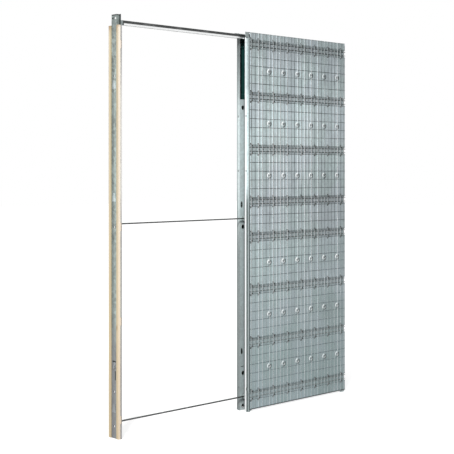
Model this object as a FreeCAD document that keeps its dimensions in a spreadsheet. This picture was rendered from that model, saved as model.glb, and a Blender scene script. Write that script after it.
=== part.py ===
import FreeCAD, Part
import math
import os
import Sketcher

# Pocket door frame for a plastered wall: a steel cassette that swallows the door leaf,
# a strike post with two nailing battens, and the running track that joins them at the top.
# Frame: X runs along the wall from the strike post to the cassette, Y goes into the wall,
# Z is up, the floor is Z = 0 and the origin is the middle of the footprint. Millimetres.

SIZES = [
    ("passage_width", 912, "clear width from the strike post to the pocket mouth"),
    ("cassette_width", 840, "length of the cassette along the wall"),
    ("cassette_height", 2158, "floor to the top of the cassette"),
    ("sheet_lift", 11, "floor to the lower edge of the side sheets and base angles"),
    ("frame_depth", 100, "depth over the wire on both faces"),
    ("slot_width", 40, "clear slot that the leaf slides in"),
    ("sheet_gauge", 1, "side sheet"),
    ("profile_gauge", 1.5, "rolled profiles"),
    ("wire_size", 2.5, "plaster mesh wire"),
    ("column_pitch", 30, "between upright wires"),
    ("column_margin", 15, "mouth edge to the first upright wire"),
    ("row_pitch", 50, "between level wires"),
    ("row_margin", 68, "floor to the lowest level wire"),
    ("row_clear", 25, "least room over the highest level wire"),
    ("column_clear", 8, "least room behind the last upright wire"),
    ("band_first", 93, "floor to the middle of the lowest pressed band"),
    ("band_pitch", 300, "between bands of one group"),
    ("band_group", 1100, "from the lower group of bands to the upper one"),
    ("band_half", 21, "half the width of a band at the sheet's face"),
    ("band_depth", 5, "depth of a band"),
    ("band_slope", 4, "run of the sloping walls of a band"),
    ("band_clear", 10, "least flat sheet over the highest band"),
    ("rod_size", 4, "clamping rods in the bands"),
    ("rod_gap", 22, "between the two rods of a band"),
    ("rod_nub", 6, "rod standing out past the rear edge"),
    ("dimple_first", 165, "mouth edge to the first column of dimples"),
    ("dimple_pitch", 120, "between dimples along the sheet"),
    ("dimple_low", 243, "floor to the lowest row of dimples"),
    ("dimple_radius", 15.5, "foot of a dimple"),
    ("dimple_crown", 10.5, "crown of a dimple"),
    ("dimple_dish", 6.5, "dish in the crown"),
    ("dimple_rise", 2.3, "height of a dimple"),
    ("jamb_stand", 8, "mouth jamb standing out of the sheet's edge"),
    ("jamb_face", 45, "sheet's edge to the far edge of a mouth jamb's inner face"),
    ("jamb_lip", 20, "lip of a mouth jamb against the bands"),
    ("jamb_flange", 17, "flange of a mouth jamb beside the slot"),
    ("jamb_window", 379, "top of the cassette to the top of the inner face"),
    ("jamb_notch", 128, "floor to the notch in the edge of a mouth jamb's flange"),
    ("jamb_notch_height", 14, "notch in the edge of a mouth jamb's flange"),
    ("jamb_notch_depth", 6, "notch in the edge of a mouth jamb's flange"),
    ("jamb_hole_in", 17, "mouth edge to the middle of the round holes"),
    ("jamb_slot_in", 6.5, "mouth edge to the middle of the upright slots"),
    ("hole_foot", 24, "floor to the lowest round hole"),
    ("hole_shin", 212, "floor to the second round hole"),
    ("hole_waist", 1050, "floor to the third round hole"),
    ("hole_head", 47, "top of the inner face to the highest round hole"),
    ("slot_shin", 338, "floor to the lower upright slot"),
    ("slot_waist", 1177, "floor to the upper upright slot"),
    ("slit_shin", 250, "floor to the level slit"),
    ("jamb_hole", 19, "round holes in the inner face"),
    ("jamb_slot_width", 8, "upright slots in the inner face"),
    ("jamb_slot_length", 27, "upright slots in the inner face"),
    ("jamb_slit_width", 22, "level slits in the inner face"),
    ("jamb_slit_height", 4, "level slits in the inner face"),
    ("head_flange", 30, "depth of the head channel"),
    ("head_sink", 10, "web of the head channel below its flanges' tops"),
    ("head_overhang", 27, "ears of the head channel standing out of the mouth"),
    ("rear_flange", 40, "flanges of the rear channel"),
    ("base_rise", 30, "upright leg of a base angle"),
    ("base_leg", 22, "flat leg of a base angle"),
    ("track_width", 34, "running track"),
    ("track_height", 21, "running track"),
    ("track_drop", 2, "gap between the head channel and the track's cap"),
    ("hanger_length", 40, "clips that hang the track"),
    ("hanger_width", 20, "clips that hang the track"),
    ("hanger_pitch", 250, "between clips"),
    ("track_wall", 2.5, "running track"),
    ("track_lip", 5, "lower lips of the track"),
    ("track_slot", 12, "slot between the lips"),
    ("cap_flange", 13.5, "flanges of the cap over the track"),
    ("post_depth", 21, "strike post along the wall"),
    ("post_rise", 15, "post standing above the cassette"),
    ("web_recess", 4, "web of the post behind the battens' outer faces"),
    ("post_lip", 9, "lips that hold the battens"),
    ("post_hole", 12, "fixing holes in the post's web"),
    ("head_hole", 12, "pair of lifting holes in the head of the post"),
    ("head_hole_down", 20, "top of the post to the middle of the lifting holes"),
    ("head_hole_side", 10, "middle of the web to the middle of a lifting hole"),
    ("head_trim", 8, "wings of the post cut back above the battens"),
    ("post_notch", 42, "height of the notches in the lips"),
    ("anchor_width", 34, "foot of a wall anchor"),
    ("anchor_tip", 12, "tip of a wall anchor"),
    ("anchor_height", 44, "wall anchor"),
    ("anchor_gauge", 2, "wall anchor"),
    ("batten_width", 20, "nailing battens, into the wall"),
    ("batten_drop", 41, "top of the cassette to the top of the battens"),
    ("bar_size", 7, "spacer bars"),
    ("bar_middle", 1098, "middle spacer bar above the floor"),
    ("bar_low", 82, "low spacer bar above the floor"),
    ("bar_inset", 6, "mouth edge to the cross plates"),
    ("bar_foot_height", 24, "cross plates on the bars' ends"),
    ("bar_foot_gauge", 3, "cross plates on the bars' ends"),
    ("bracket_gauge", 3, "stirrup that holds the track's end in the post"),
    ("bracket_drop", 36, "upright leg of that stirrup"),
    ("bracket_reach", 46, "level leg and cheeks of that stirrup"),
]

doc = FreeCAD.newDocument("pocket_door_frame")
sheet = doc.addObject("Spreadsheet::Sheet", "Sizes")
for row, (alias, value, meaning) in enumerate(SIZES, start=1):
    sheet.set("A%d" % row, alias)
    sheet.set("B%d" % row, str(value))
    sheet.set("C%d" % row, meaning)
    sheet.setAlias("B%d" % row, alias)
doc.recompute()

# Places along the wall, into the wall and up, as expressions of the sheet
LEFT = "(-(Sizes.post_depth + Sizes.passage_width + Sizes.cassette_width + Sizes.rod_nub) / 2)"
POST_FACE = "(%s + Sizes.post_depth)" % LEFT
MOUTH = "(%s + Sizes.passage_width)" % POST_FACE
REAR = "(%s + Sizes.cassette_width)" % MOUTH
WEB = "(%s + Sizes.web_recess + Sizes.profile_gauge)" % LEFT
STEEL = "(Sizes.frame_depth / 2 - 2 * Sizes.wire_size)"
INSIDE = "(%s - Sizes.sheet_gauge)" % STEEL
CREST = "(%s - Sizes.band_depth)" % INSIDE
SLOT = "(Sizes.slot_width / 2)"
GAUGE = "Sizes.profile_gauge"
HEAD_BASE = "(Sizes.cassette_height - Sizes.head_flange)"
HEAD_WEB = "(Sizes.cassette_height - Sizes.head_sink)"
HEAD_SKIN = "(%s - Sizes.profile_gauge)" % HEAD_WEB
CAP_TOP = "(%s - Sizes.track_drop)" % HEAD_SKIN
TRACK_TOP = "(%s - Sizes.profile_gauge)" % CAP_TOP
TRACK_BASE = "(%s - Sizes.track_height)" % TRACK_TOP
POST_TOP = "(Sizes.cassette_height + Sizes.post_rise)"
FACE_TOP = "(Sizes.cassette_height - Sizes.jamb_window)"
BATTEN_FACE = "(%s + %s + Sizes.batten_width)" % (SLOT, GAUGE)
ZERO = "0"

SIDES = (("front", "-1"), ("back", "1"))
BANDS = 4
# Heights on the post, as shares of the cassette's height
POST_HOLES = (0.029, 0.111, 0.502, 0.860)
POST_NOTCHES = (0.046, 0.279, 0.503, 0.935)
ANCHORS = (0.061, 0.562, 0.830)
nodes = []


def size(alias):
    """Value of one sheet cell."""
    return float(sheet.get(alias))


def worth(expression):
    """Value of an expression of the sheet."""
    result = sheet.evalExpression(expression)
    return float(getattr(result, "Value", result))


def flip(side, expression):
    """Depth on the front or the back of the frame."""
    return "(%s * %s)" % (side, expression)


def count(start, pitch, limit, most=1000):
    """How many repeats fit between a start and a limit."""
    return max(1, min(most, int(math.floor((limit - start) / pitch)) + 1))


def band_limit():
    """Highest middle that a band may have."""
    return size("cassette_height") - size("band_half") - size("band_clear")


def new_body(name):
    """Start a node."""
    body = doc.addObject("PartDesign::Body", name)
    body.Label = name
    body.AllowCompound = True
    nodes.append(body)
    return body


def datum(body, role):
    """Origin plane or axis of a body."""
    return [item for item in body.Origin.OriginFeatures if item.Role == role][0]


def new_sketch(body, name, plane, offset):
    """Empty sketch on an origin plane, moved along the plane's normal."""
    sketch = body.newObject("Sketcher::SketchObject", name)
    sketch.AttachmentSupport = [(datum(body, plane), "")]
    sketch.MapMode = "FlatFace"
    sketch.setExpression("AttachmentOffset.Base.z", offset)
    return sketch


def polygon(sketch, corners):
    """Closed outline whose corners are held by expressions."""
    first = sketch.GeometryCount
    spots = [FreeCAD.Vector(worth(u), worth(v), 0) for u, v in corners]
    total = len(spots)
    for index in range(total):
        line = Part.LineSegment(spots[index], spots[(index + 1) % total])
        sketch.addGeometry(line, False)
    for index in range(total):
        here = first + index
        after = first + (index + 1) % total
        sketch.addConstraint(Sketcher.Constraint("Coincident", here, 2, after, 1))
    for index, (u, v) in enumerate(corners):
        here = first + index
        for kind, value, text in (("DistanceX", spots[index].x, u), ("DistanceY", spots[index].y, v)):
            number = sketch.addConstraint(Sketcher.Constraint(kind, -1, 1, here, 1, value))
            sketch.setExpression("Constraints[%d]" % number, text)


def box_corners(u_low, u_high, v_low, v_high):
    """Corners of an upright rectangle."""
    return [(u_low, v_low), (u_high, v_low), (u_high, v_high), (u_low, v_high)]


def ring_corners(u, v, radius, total=15):
    """Corners of a regular outline of many sides."""
    turns = [2 * math.pi * index / total for index in range(total)]
    return [("(%s + %.6f * %s)" % (u, math.cos(turn), radius), "(%s + %.6f * %s)" % (v, math.sin(turn), radius))
            for turn in turns]


def circle(sketch, u, v, diameter):
    """Circle held by expressions."""
    centre = FreeCAD.Vector(worth(u), worth(v), 0)
    radius = worth(diameter) / 2
    here = sketch.addGeometry(Part.Circle(centre, FreeCAD.Vector(0, 0, 1), radius), False)
    held = (
        (Sketcher.Constraint("Diameter", here, radius * 2), diameter),
        (Sketcher.Constraint("DistanceX", -1, 1, here, 3, centre.x), u),
        (Sketcher.Constraint("DistanceY", -1, 1, here, 3, centre.y), v),
    )
    for constraint, text in held:
        number = sketch.addConstraint(constraint)
        sketch.setExpression("Constraints[%d]" % number, text)


def pad(body, sketch, length, back=False):
    """Thicken a sketch along its normal."""
    feature = body.newObject("PartDesign::Pad", sketch.Name + "_pad")
    feature.Profile = sketch
    feature.Reversed = back
    feature.setExpression("Length", length)
    body.Tip = feature
    return feature


def cut(body, sketch, length, back=False, both=False):
    """Cut a sketch out of a body, one way or both ways."""
    feature = body.newObject("PartDesign::Pocket", sketch.Name + "_cut")
    feature.Profile = sketch
    feature.Reversed = back
    if both:
        feature.SideType = "Symmetric"
    feature.setExpression("Length", length)
    body.Tip = feature
    doc.recompute()
    if not feature.Shape.Volume < feature.BaseFeature.Shape.Volume:
        raise RuntimeError("%s cuts nothing" % feature.Name)
    return feature


def repeat(body, originals, role, pitch, times, role2=None, pitch2=None, times2=1):
    """Repeat features along one or two axes."""
    if times * times2 < 2:
        return
    feature = body.newObject("PartDesign::LinearPattern", originals[0].Name + "_row")
    feature.Originals = originals
    feature.Direction = (datum(body, role), [""])
    feature.Occurrences = times
    feature.setExpression("Length", "%d * %s" % (max(1, times - 1), pitch))
    if role2:
        feature.Direction2 = (datum(body, role2), [""])
        feature.Occurrences2 = times2
        feature.setExpression("Length2", "%d * %s" % (max(1, times2 - 1), pitch2))
    body.Tip = feature


def rolled(name, plane, offset, corners, length):
    """Profile of one section, drawn on a plane and drawn out along its normal."""
    body = new_body(name)
    sketch = new_sketch(body, name + "_section", plane, offset)
    polygon(sketch, corners)
    pad(body, sketch, length)
    return body


def plank(name, x_low, x_high, y_low, y_high, z_low, z_high):
    """Part box between six expressions."""
    block = doc.addObject("Part::Box", name)
    block.setExpression("Length", "%s - %s" % (x_high, x_low))
    block.setExpression("Width", "%s - %s" % (y_high, y_low))
    block.setExpression("Height", "%s - %s" % (z_high, z_low))
    block.setExpression("Placement.Base.x", x_low)
    block.setExpression("Placement.Base.y", y_low)
    block.setExpression("Placement.Base.z", z_low)
    return block


def joined(name, pieces):
    """Weld boxes into one node."""
    whole = doc.addObject("Part::MultiFuse", name)
    whole.Label = name
    whole.Shapes = pieces
    whole.Refine = True
    nodes.append(whole)
    return whole


# Side sheets with pressed bands and dimples

def side_sheet(name, side):
    """Sheet of one cassette side; bands press inwards, dimples rise outwards."""
    face = flip(side, STEEL)
    inner = flip(side, INSIDE)
    body = rolled(name, "YZ_Plane", MOUTH,
                  box_corners(face, inner, "Sizes.sheet_lift", "Sizes.cassette_height"), "Sizes.cassette_width")
    edge = new_sketch(body, name + "_edge", "YZ_Plane", MOUTH)
    polygon(edge, box_corners(inner, flip(side, CREST), "Sizes.sheet_lift", "Sizes.cassette_height"))
    pad(body, edge, "Sizes.sheet_gauge")
    for group in (0, 1):
        lift = "%d * Sizes.band_group" % group
        middle = "(Sizes.band_first + %s)" % lift
        high = "(%s + Sizes.band_half)" % middle
        low = "(%s - Sizes.band_half)" % middle
        floor_high = "(%s - Sizes.band_slope)" % high
        floor_low = "(%s + Sizes.band_slope)" % low
        ridge = new_sketch(body, "%s_ridge_%d" % (name, group), "YZ_Plane", MOUTH)
        ridge_floor = flip(side, "(%s - Sizes.band_depth)" % INSIDE)
        polygon(ridge, [(inner, high), (ridge_floor, floor_high), (ridge_floor, floor_low), (inner, low)])
        raised = pad(body, ridge, "Sizes.cassette_width")
        groove = new_sketch(body, "%s_groove_%d" % (name, group), "YZ_Plane", MOUTH)
        groove_floor = flip(side, "(%s - Sizes.band_depth)" % STEEL)
        polygon(groove, [(face, high), (groove_floor, floor_high), (groove_floor, floor_low), (face, low)])
        sunk = cut(body, groove, "Sizes.cassette_width", back=True)
        start = size("band_first") + group * size("band_group")
        fits = count(start, size("band_pitch"), band_limit(), BANDS)
        repeat(body, [raised, sunk], "Z_Axis", "Sizes.band_pitch", fits)
    column = "(%s + Sizes.dimple_first)" % MOUTH
    across = count(size("dimple_first"), size("dimple_pitch"), size("cassette_width") - 2 * size("dimple_radius"))
    shapes = (
        ("PartDesign::AdditiveLoft", "boss", STEEL, "Sizes.dimple_radius", "Sizes.dimple_crown"),
        ("PartDesign::SubtractiveLoft", "dish", "(%s + 0.2 * Sizes.dimple_rise)" % STEEL,
         "0.5 * Sizes.dimple_dish", "Sizes.dimple_dish"),
    )
    crown = "(%s + Sizes.dimple_rise)" % STEEL
    for group in (0, 1):
        row = "(Sizes.dimple_low + %d * Sizes.band_group)" % group
        start = size("dimple_low") + group * size("band_group")
        fits = count(start, size("band_pitch"), size("cassette_height") - 2 * size("dimple_radius"), BANDS - 1)
        for kind, label, foot_depth, foot_radius, crown_radius in shapes:
            outlines = []
            for end, depth, radius in (("foot", foot_depth, foot_radius), ("crown", crown, crown_radius)):
                sketch = new_sketch(body, "%s_%s_%s_%d" % (name, label, end, group), "XZ_Plane",
                                    flip(side, "(-1 * %s)" % depth))
                polygon(sketch, ring_corners(column, row, radius))
                outlines.append(sketch)
            loft = body.newObject(kind, "%s_%s_%d" % (name, label, group))
            loft.Profile = outlines[0]
            loft.Sections = [outlines[1]]
            loft.Ruled = True
            body.Tip = loft
            repeat(body, [loft], "X_Axis", "Sizes.dimple_pitch", across, "Z_Axis", "Sizes.band_pitch", fits)


for word, side in SIDES:
    side_sheet(word + "_side_sheet", side)

# Plaster mesh in two layers, and the rods clamped in the bands

def mesh_layers(word, side):
    """Level wires on the sheet, upright wires on those, rods in the bands."""
    sheet_face = flip(side, STEEL)
    level_face = flip(side, "(%s + Sizes.wire_size)" % STEEL)
    outer_face = flip(side, "(Sizes.frame_depth / 2)")
    half = "Sizes.wire_size / 2"
    rows = count(size("row_margin"), size("row_pitch"), size("cassette_height") - size("row_clear"))
    level = rolled(word + "_mesh_level_wires", "YZ_Plane", MOUTH,
                   box_corners(sheet_face, level_face, "Sizes.row_margin - " + half, "Sizes.row_margin + " + half),
                   "Sizes.cassette_width")
    repeat(level, [level.Tip], "Z_Axis", "Sizes.row_pitch", rows)
    columns = count(size("column_margin"), size("column_pitch"), size("cassette_width") - size("column_clear"))
    spot = "(%s + Sizes.column_margin)" % MOUTH
    upright = rolled(word + "_mesh_upright_wires", "XY_Plane", "Sizes.row_margin - Sizes.row_pitch",
                     box_corners("%s - %s" % (spot, half), "%s + %s" % (spot, half), level_face, outer_face),
                     "Sizes.cassette_height - (Sizes.row_margin - Sizes.row_pitch)")
    repeat(upright, [upright.Tip], "X_Axis", "Sizes.column_pitch", columns)
    rods = new_body(word + "_band_rods")
    rod_back = flip(side, "(%s - Sizes.band_depth)" % STEEL)
    rod_front = flip(side, "(%s - Sizes.band_depth + Sizes.rod_size)" % STEEL)
    for group in (0, 1):
        start = size("band_first") + group * size("band_group")
        fits = count(start, size("band_pitch"), band_limit(), BANDS)
        pair = []
        for part_name, sign in (("low", "-"), ("high", "+")):
            middle = "(Sizes.band_first + %d * Sizes.band_group %s Sizes.rod_gap / 2)" % (group, sign)
            sketch = new_sketch(rods, "%s_rod_%s_%d" % (word, part_name, group), "YZ_Plane", MOUTH)
            polygon(sketch, box_corners(rod_back, rod_front, "%s - Sizes.rod_size / 2" % middle,
                                        "%s + Sizes.rod_size / 2" % middle))
            pair.append(pad(rods, sketch, "Sizes.cassette_width + Sizes.rod_nub"))
        repeat(rods, pair, "Z_Axis", "Sizes.band_pitch", fits)


for word, side in SIDES:
    mesh_layers(word, side)

# Mouth jambs: a channel on each side of the slot, its inner face punched

def mouth_jamb(name, side):
    """Jamb of one side: inner face, notched flange, step and plaster stop; the face ends below the top."""
    near = flip(side, SLOT)
    near_skin = flip(side, "(%s + %s)" % (SLOT, GAUGE))
    out = flip(side, "(%s + Sizes.jamb_flange)" % SLOT)
    out_skin = flip(side, "(%s + Sizes.jamb_flange - %s)" % (SLOT, GAUGE))
    far = flip(side, CREST)
    far_skin = flip(side, "(%s - %s)" % (CREST, GAUGE))
    stop = flip(side, "(Sizes.frame_depth / 2)")
    front = "(%s - Sizes.jamb_stand)" % MOUTH
    edge = "(%s + Sizes.jamb_face)" % MOUTH
    skin = "(%s + %s)" % (front, GAUGE)
    step = "(%s - %s)" % (MOUTH, GAUGE)
    lip = "(%s + Sizes.jamb_lip)" % MOUTH
    corners = [(front, near), (edge, near), (edge, near_skin), (skin, near_skin), (skin, out_skin),
               (MOUTH, out_skin), (MOUTH, far_skin), (lip, far_skin), (lip, far),
               (MOUTH, far), (MOUTH, stop), (step, stop), (step, out), (front, out)]
    body = rolled(name, "XY_Plane", ZERO, corners, HEAD_BASE)
    notch = new_sketch(body, name + "_notch", "YZ_Plane", front)
    notch_in = flip(side, "(%s + Sizes.jamb_flange - Sizes.jamb_notch_depth)" % SLOT)
    notch_out = flip(side, "(%s + Sizes.jamb_flange + 1)" % SLOT)
    polygon(notch, box_corners(notch_in, notch_out, "(Sizes.jamb_notch - Sizes.jamb_notch_height / 2)",
                               "(Sizes.jamb_notch + Sizes.jamb_notch_height / 2)"))
    cut(body, notch, "4 * Sizes.profile_gauge", both=True)
    plane = flip(side, "(-1 * %s)" % SLOT)
    through = "2 * Sizes.profile_gauge + 2"
    upper = new_sketch(body, name + "_upper", "XZ_Plane", plane)
    polygon(upper, box_corners(skin, "(%s + 1)" % edge, FACE_TOP, "%s + 1" % HEAD_BASE))
    cut(body, upper, through, both=True)
    punched = new_sketch(body, name + "_punched", "XZ_Plane", plane)
    middle = "(%s + Sizes.jamb_hole_in)" % MOUTH
    beside = "(%s + Sizes.jamb_slot_in)" % MOUTH
    between = "(%s + (Sizes.jamb_hole_in + Sizes.jamb_slot_in) / 2)" % MOUTH
    for height in ("Sizes.hole_foot", "Sizes.hole_shin", "Sizes.hole_waist", "(%s - Sizes.hole_head)" % FACE_TOP):
        circle(punched, middle, height, "Sizes.jamb_hole")
    openings = ((beside, "Sizes.slot_shin", "Sizes.jamb_slot_width", "Sizes.jamb_slot_length"),
                (beside, "Sizes.slot_waist", "Sizes.jamb_slot_width", "Sizes.jamb_slot_length"),
                (between, "Sizes.slit_shin", "Sizes.jamb_slit_width", "Sizes.jamb_slit_height"))
    for along, height, width, length in openings:
        polygon(punched, box_corners("(%s - %s / 2)" % (along, width), "(%s + %s / 2)" % (along, width),
                                     "(%s - %s / 2)" % (height, length), "(%s + %s / 2)" % (height, length)))
    cut(body, punched, through, both=True)


for word, side in SIDES:
    mouth_jamb(word + "_mouth_jamb", side)

# Rear channel, base angles and head channel close the cassette

rear_inner = "(%s - %s)" % (REAR, GAUGE)
rear_edge = "(%s - Sizes.rear_flange)" % REAR
rear_skin = "(%s - %s)" % (CREST, GAUGE)


def both_sides(points):
    """Half outline on the front, then its mirror image on the back."""
    front = [(u, "(-1 * %s)" % v) for u, v in points]
    return front + [(u, v) for u, v in reversed(points)]


def both_hands(points):
    """The same for an outline whose first measure is the depth."""
    front = [("(-1 * %s)" % u, v) for u, v in points]
    return front + [(u, v) for u, v in reversed(points)]


rolled("rear_channel", "XY_Plane", ZERO,
       both_sides([(REAR, CREST), (rear_edge, CREST), (rear_edge, rear_skin), (rear_inner, rear_skin)]),
       HEAD_BASE)

base_start = "(%s + Sizes.jamb_face)" % MOUTH
base_low = "Sizes.sheet_lift"
base_skin = "(%s + %s)" % (base_low, GAUGE)
base_high = "(%s + Sizes.base_rise)" % base_low
for word, side in SIDES:
    wall = flip(side, INSIDE)
    wall_inner = flip(side, "(%s - %s)" % (INSIDE, GAUGE))
    toe = flip(side, "(%s - Sizes.base_leg)" % INSIDE)
    rolled(word + "_base_angle", "YZ_Plane", base_start,
           [(wall, base_low), (toe, base_low), (toe, base_skin), (wall_inner, base_skin),
            (wall_inner, base_high), (wall, base_high)],
           "%s - %s" % (rear_edge, base_start))

head_skin = "(%s - %s)" % (INSIDE, GAUGE)
head_start = "(%s - Sizes.head_overhang)" % MOUTH
head = rolled("head_channel", "YZ_Plane", head_start,
              both_hands([(head_skin, HEAD_WEB), (head_skin, "Sizes.cassette_height"),
                          (INSIDE, "Sizes.cassette_height"), (INSIDE, HEAD_BASE), (head_skin, HEAD_BASE),
                          (head_skin, HEAD_SKIN)]),
              "Sizes.cassette_width + Sizes.head_overhang")
ears = new_sketch(head, "head_ears", "XY_Plane", HEAD_WEB)
polygon(ears, box_corners("(%s - 1)" % head_start, MOUTH, "(-1 * %s)" % head_skin, head_skin))
cut(head, ears, "2 * Sizes.profile_gauge")

# Running track and the dark cap over it, from the post's web to the rear channel

track_half = "(Sizes.track_width / 2)"
track_in = "(Sizes.track_width / 2 - Sizes.track_wall)"
slot_half = "(Sizes.track_slot / 2)"
lip_top = "(%s + Sizes.track_lip)" % TRACK_BASE
roof = "(%s - Sizes.track_wall)" % TRACK_TOP
track_length = "%s - %s" % (rear_inner, WEB)
rolled("running_track", "YZ_Plane", WEB,
       both_hands([(track_half, TRACK_TOP), (track_half, TRACK_BASE), (slot_half, TRACK_BASE),
                   (slot_half, lip_top), (track_in, lip_top), (track_in, roof)]),
       track_length)
cap_half = "(%s + %s)" % (track_half, GAUGE)
cap_base = "(%s - Sizes.cap_flange)" % CAP_TOP
rolled("track_cap", "YZ_Plane", WEB,
       both_hands([(cap_half, CAP_TOP), (cap_half, cap_base), (track_half, cap_base), (track_half, TRACK_TOP)]),
       track_length)

hangers = new_body("track_hangers")
hanger_start = "(%s + Sizes.jamb_face)" % MOUTH
hanger_sketch = new_sketch(hangers, "hanger_plan", "XY_Plane", CAP_TOP)
polygon(hanger_sketch, box_corners(hanger_start, "(%s + Sizes.hanger_length)" % hanger_start,
                                   "(-1 * Sizes.hanger_width / 2)", "(Sizes.hanger_width / 2)"))
hanger = pad(hangers, hanger_sketch, "Sizes.track_drop")
hanger_room = size("cassette_width") - size("rear_flange") - size("hanger_length")
repeat(hangers, [hanger], "X_Axis", "Sizes.hanger_pitch",
       count(size("jamb_face"), size("hanger_pitch"), hanger_room))

# Strike post: a hat profile open to the passage, with a batten behind each wing

web_out = "(%s + Sizes.web_recess)" % LEFT
wing_out = "(%s - %s)" % (POST_FACE, GAUGE)
lip_edge = "(%s - Sizes.post_lip)" % POST_FACE
flank = "(%s + %s)" % (SLOT, GAUGE)
lip_out = "(%s + %s)" % (BATTEN_FACE, GAUGE)

post = rolled("strike_post", "XY_Plane", ZERO,
              both_sides([(web_out, flank), (wing_out, flank), (wing_out, BATTEN_FACE), (lip_edge, BATTEN_FACE),
                          (lip_edge, lip_out), (POST_FACE, lip_out), (POST_FACE, SLOT), (WEB, SLOT)]),
              POST_TOP)
drilled = new_sketch(post, "post_drilled", "YZ_Plane", web_out)
for share in POST_HOLES:
    circle(drilled, ZERO, "%.3f * Sizes.cassette_height" % share, "Sizes.post_hole")
for word, side in SIDES:
    circle(drilled, flip(side, "Sizes.head_hole_side"), "%s - Sizes.head_hole_down" % POST_TOP, "Sizes.head_hole")
cut(post, drilled, "4 * Sizes.profile_gauge", both=True)
for word, side in SIDES:
    lip_middle = flip(side, "(-1 * (%s + %s / 2))" % (BATTEN_FACE, GAUGE))
    notched = new_sketch(post, "post_%s_lip" % word, "XZ_Plane", lip_middle)
    for share in POST_NOTCHES:
        height = "(%.3f * Sizes.cassette_height)" % share
        polygon(notched, box_corners("(%s - 1)" % lip_edge, wing_out, "(%s - Sizes.post_notch / 2)" % height,
                                     "(%s + Sizes.post_notch / 2)" % height))
    polygon(notched, box_corners("(%s - 1)" % lip_edge, wing_out,
                                 "(Sizes.cassette_height - Sizes.batten_drop)", "(%s + 1)" % POST_TOP))
    cut(post, notched, "3 * Sizes.profile_gauge", both=True)
    trimmed = new_sketch(post, "post_%s_wing" % word, "YZ_Plane", POST_FACE)
    polygon(trimmed, box_corners(flip(side, "(%s - Sizes.head_trim)" % lip_out), flip(side, "(%s + 1)" % lip_out),
                                 "(Sizes.cassette_height - Sizes.batten_drop)", "(%s + 1)" % POST_TOP))
    cut(post, trimmed, "4 * Sizes.profile_gauge", both=True)

for word, side in SIDES:
    rolled(word + "_batten", "XY_Plane", ZERO,
           box_corners(LEFT, wing_out, flip(side, flank), flip(side, BATTEN_FACE)),
           "Sizes.cassette_height - Sizes.batten_drop")

# Anchors pressed on the post's web, inside the recess between the battens

anchors = new_body("wall_anchors")
for number, share in enumerate(ANCHORS):
    low = "(%.3f * Sizes.cassette_height)" % share
    high = "(%s + Sizes.anchor_height)" % low
    sketch = new_sketch(anchors, "anchor_plan_%d" % number, "YZ_Plane", web_out)
    polygon(sketch, [("(-1 * Sizes.anchor_width / 2)", low), ("(Sizes.anchor_width / 2)", low),
                     ("(Sizes.anchor_tip / 2)", high), ("(-1 * Sizes.anchor_tip / 2)", high)])
    pad(anchors, sketch, "Sizes.anchor_gauge", back=True)

# Stirrup that carries the track's end in the post, with a cheek on each side of the cap

stirrup_half = "(%s + %s)" % (cap_half, GAUGE)
stirrup_end = "(%s + Sizes.bracket_reach)" % WEB
stirrup_base = "(%s - Sizes.bracket_gauge)" % TRACK_BASE
joined("track_bracket", [
    plank("bracket_upright", WEB, "(%s + Sizes.bracket_gauge)" % WEB, "(-1 * %s)" % stirrup_half, stirrup_half,
          "(%s - Sizes.bracket_drop)" % TRACK_BASE, TRACK_BASE),
    plank("bracket_level", WEB, stirrup_end, "(-1 * %s)" % stirrup_half, stirrup_half, stirrup_base, TRACK_BASE),
    plank("bracket_front_cheek", WEB, stirrup_end, "(-1 * %s)" % stirrup_half, "(-1 * %s)" % cap_half,
          stirrup_base, CAP_TOP),
    plank("bracket_back_cheek", WEB, stirrup_end, cap_half, stirrup_half, stirrup_base, CAP_TOP),
])

# Spacer bars that hold the passage and the slot to width until the wall is plastered

def spacer_bar(name, height):
    """Square bar from the post's web to a cross plate between the mouth jambs."""
    low = "(%s - Sizes.bar_size / 2)" % height
    high = "(%s + Sizes.bar_size / 2)" % height
    foot_low = "(%s - Sizes.bar_foot_height / 2)" % height
    foot_high = "(%s + Sizes.bar_foot_height / 2)" % height
    half_bar = "(Sizes.bar_size / 2)"
    inset = "(%s + Sizes.bar_inset)" % MOUTH
    far = "(%s + Sizes.bar_foot_gauge)" % inset
    near = "(%s + Sizes.bar_foot_gauge)" % WEB
    joined(name, [
        plank(name + "_bar", WEB, far, "(-1 * %s)" % half_bar, half_bar, low, high),
        plank(name + "_mouth_plate", inset, far, "(-1 * %s)" % SLOT, SLOT, foot_low, foot_high),
        plank(name + "_post_plate", WEB, near, "(-1 * %s)" % SLOT, SLOT, foot_low, foot_high),
    ])


spacer_bar("middle_spacer_bar", "Sizes.bar_middle")
spacer_bar("low_spacer_bar", "Sizes.bar_low")

# Check every object, then write one file a node

doc.recompute()
for item in doc.Objects:
    if "Invalid" in item.State or "Error" in item.State:
        raise RuntimeError("%s did not compute" % item.Name)
os.makedirs("parts", exist_ok=True)
for node in nodes:
    if node.Shape.isNull() or not node.Shape.isValid():
        raise RuntimeError("%s has no valid shape" % node.Label)
    node.Shape.exportStep("parts/%s.step" % node.Label)
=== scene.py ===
"""Looks of a pocket door frame: finishes, mesh, tabs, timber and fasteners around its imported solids.

Lengths are metres in the frame of the solids: X runs along the wall from the strike post to the
cassette, Y runs through the wall with the front at minus Y, and Z is up from the floor.
"""

import logging
import math
from dataclasses import dataclass
from enum import Enum
from typing import Any, Callable, Iterable, Sequence, Union

import bmesh
import bpy
from mathutils import Matrix, Vector

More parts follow.
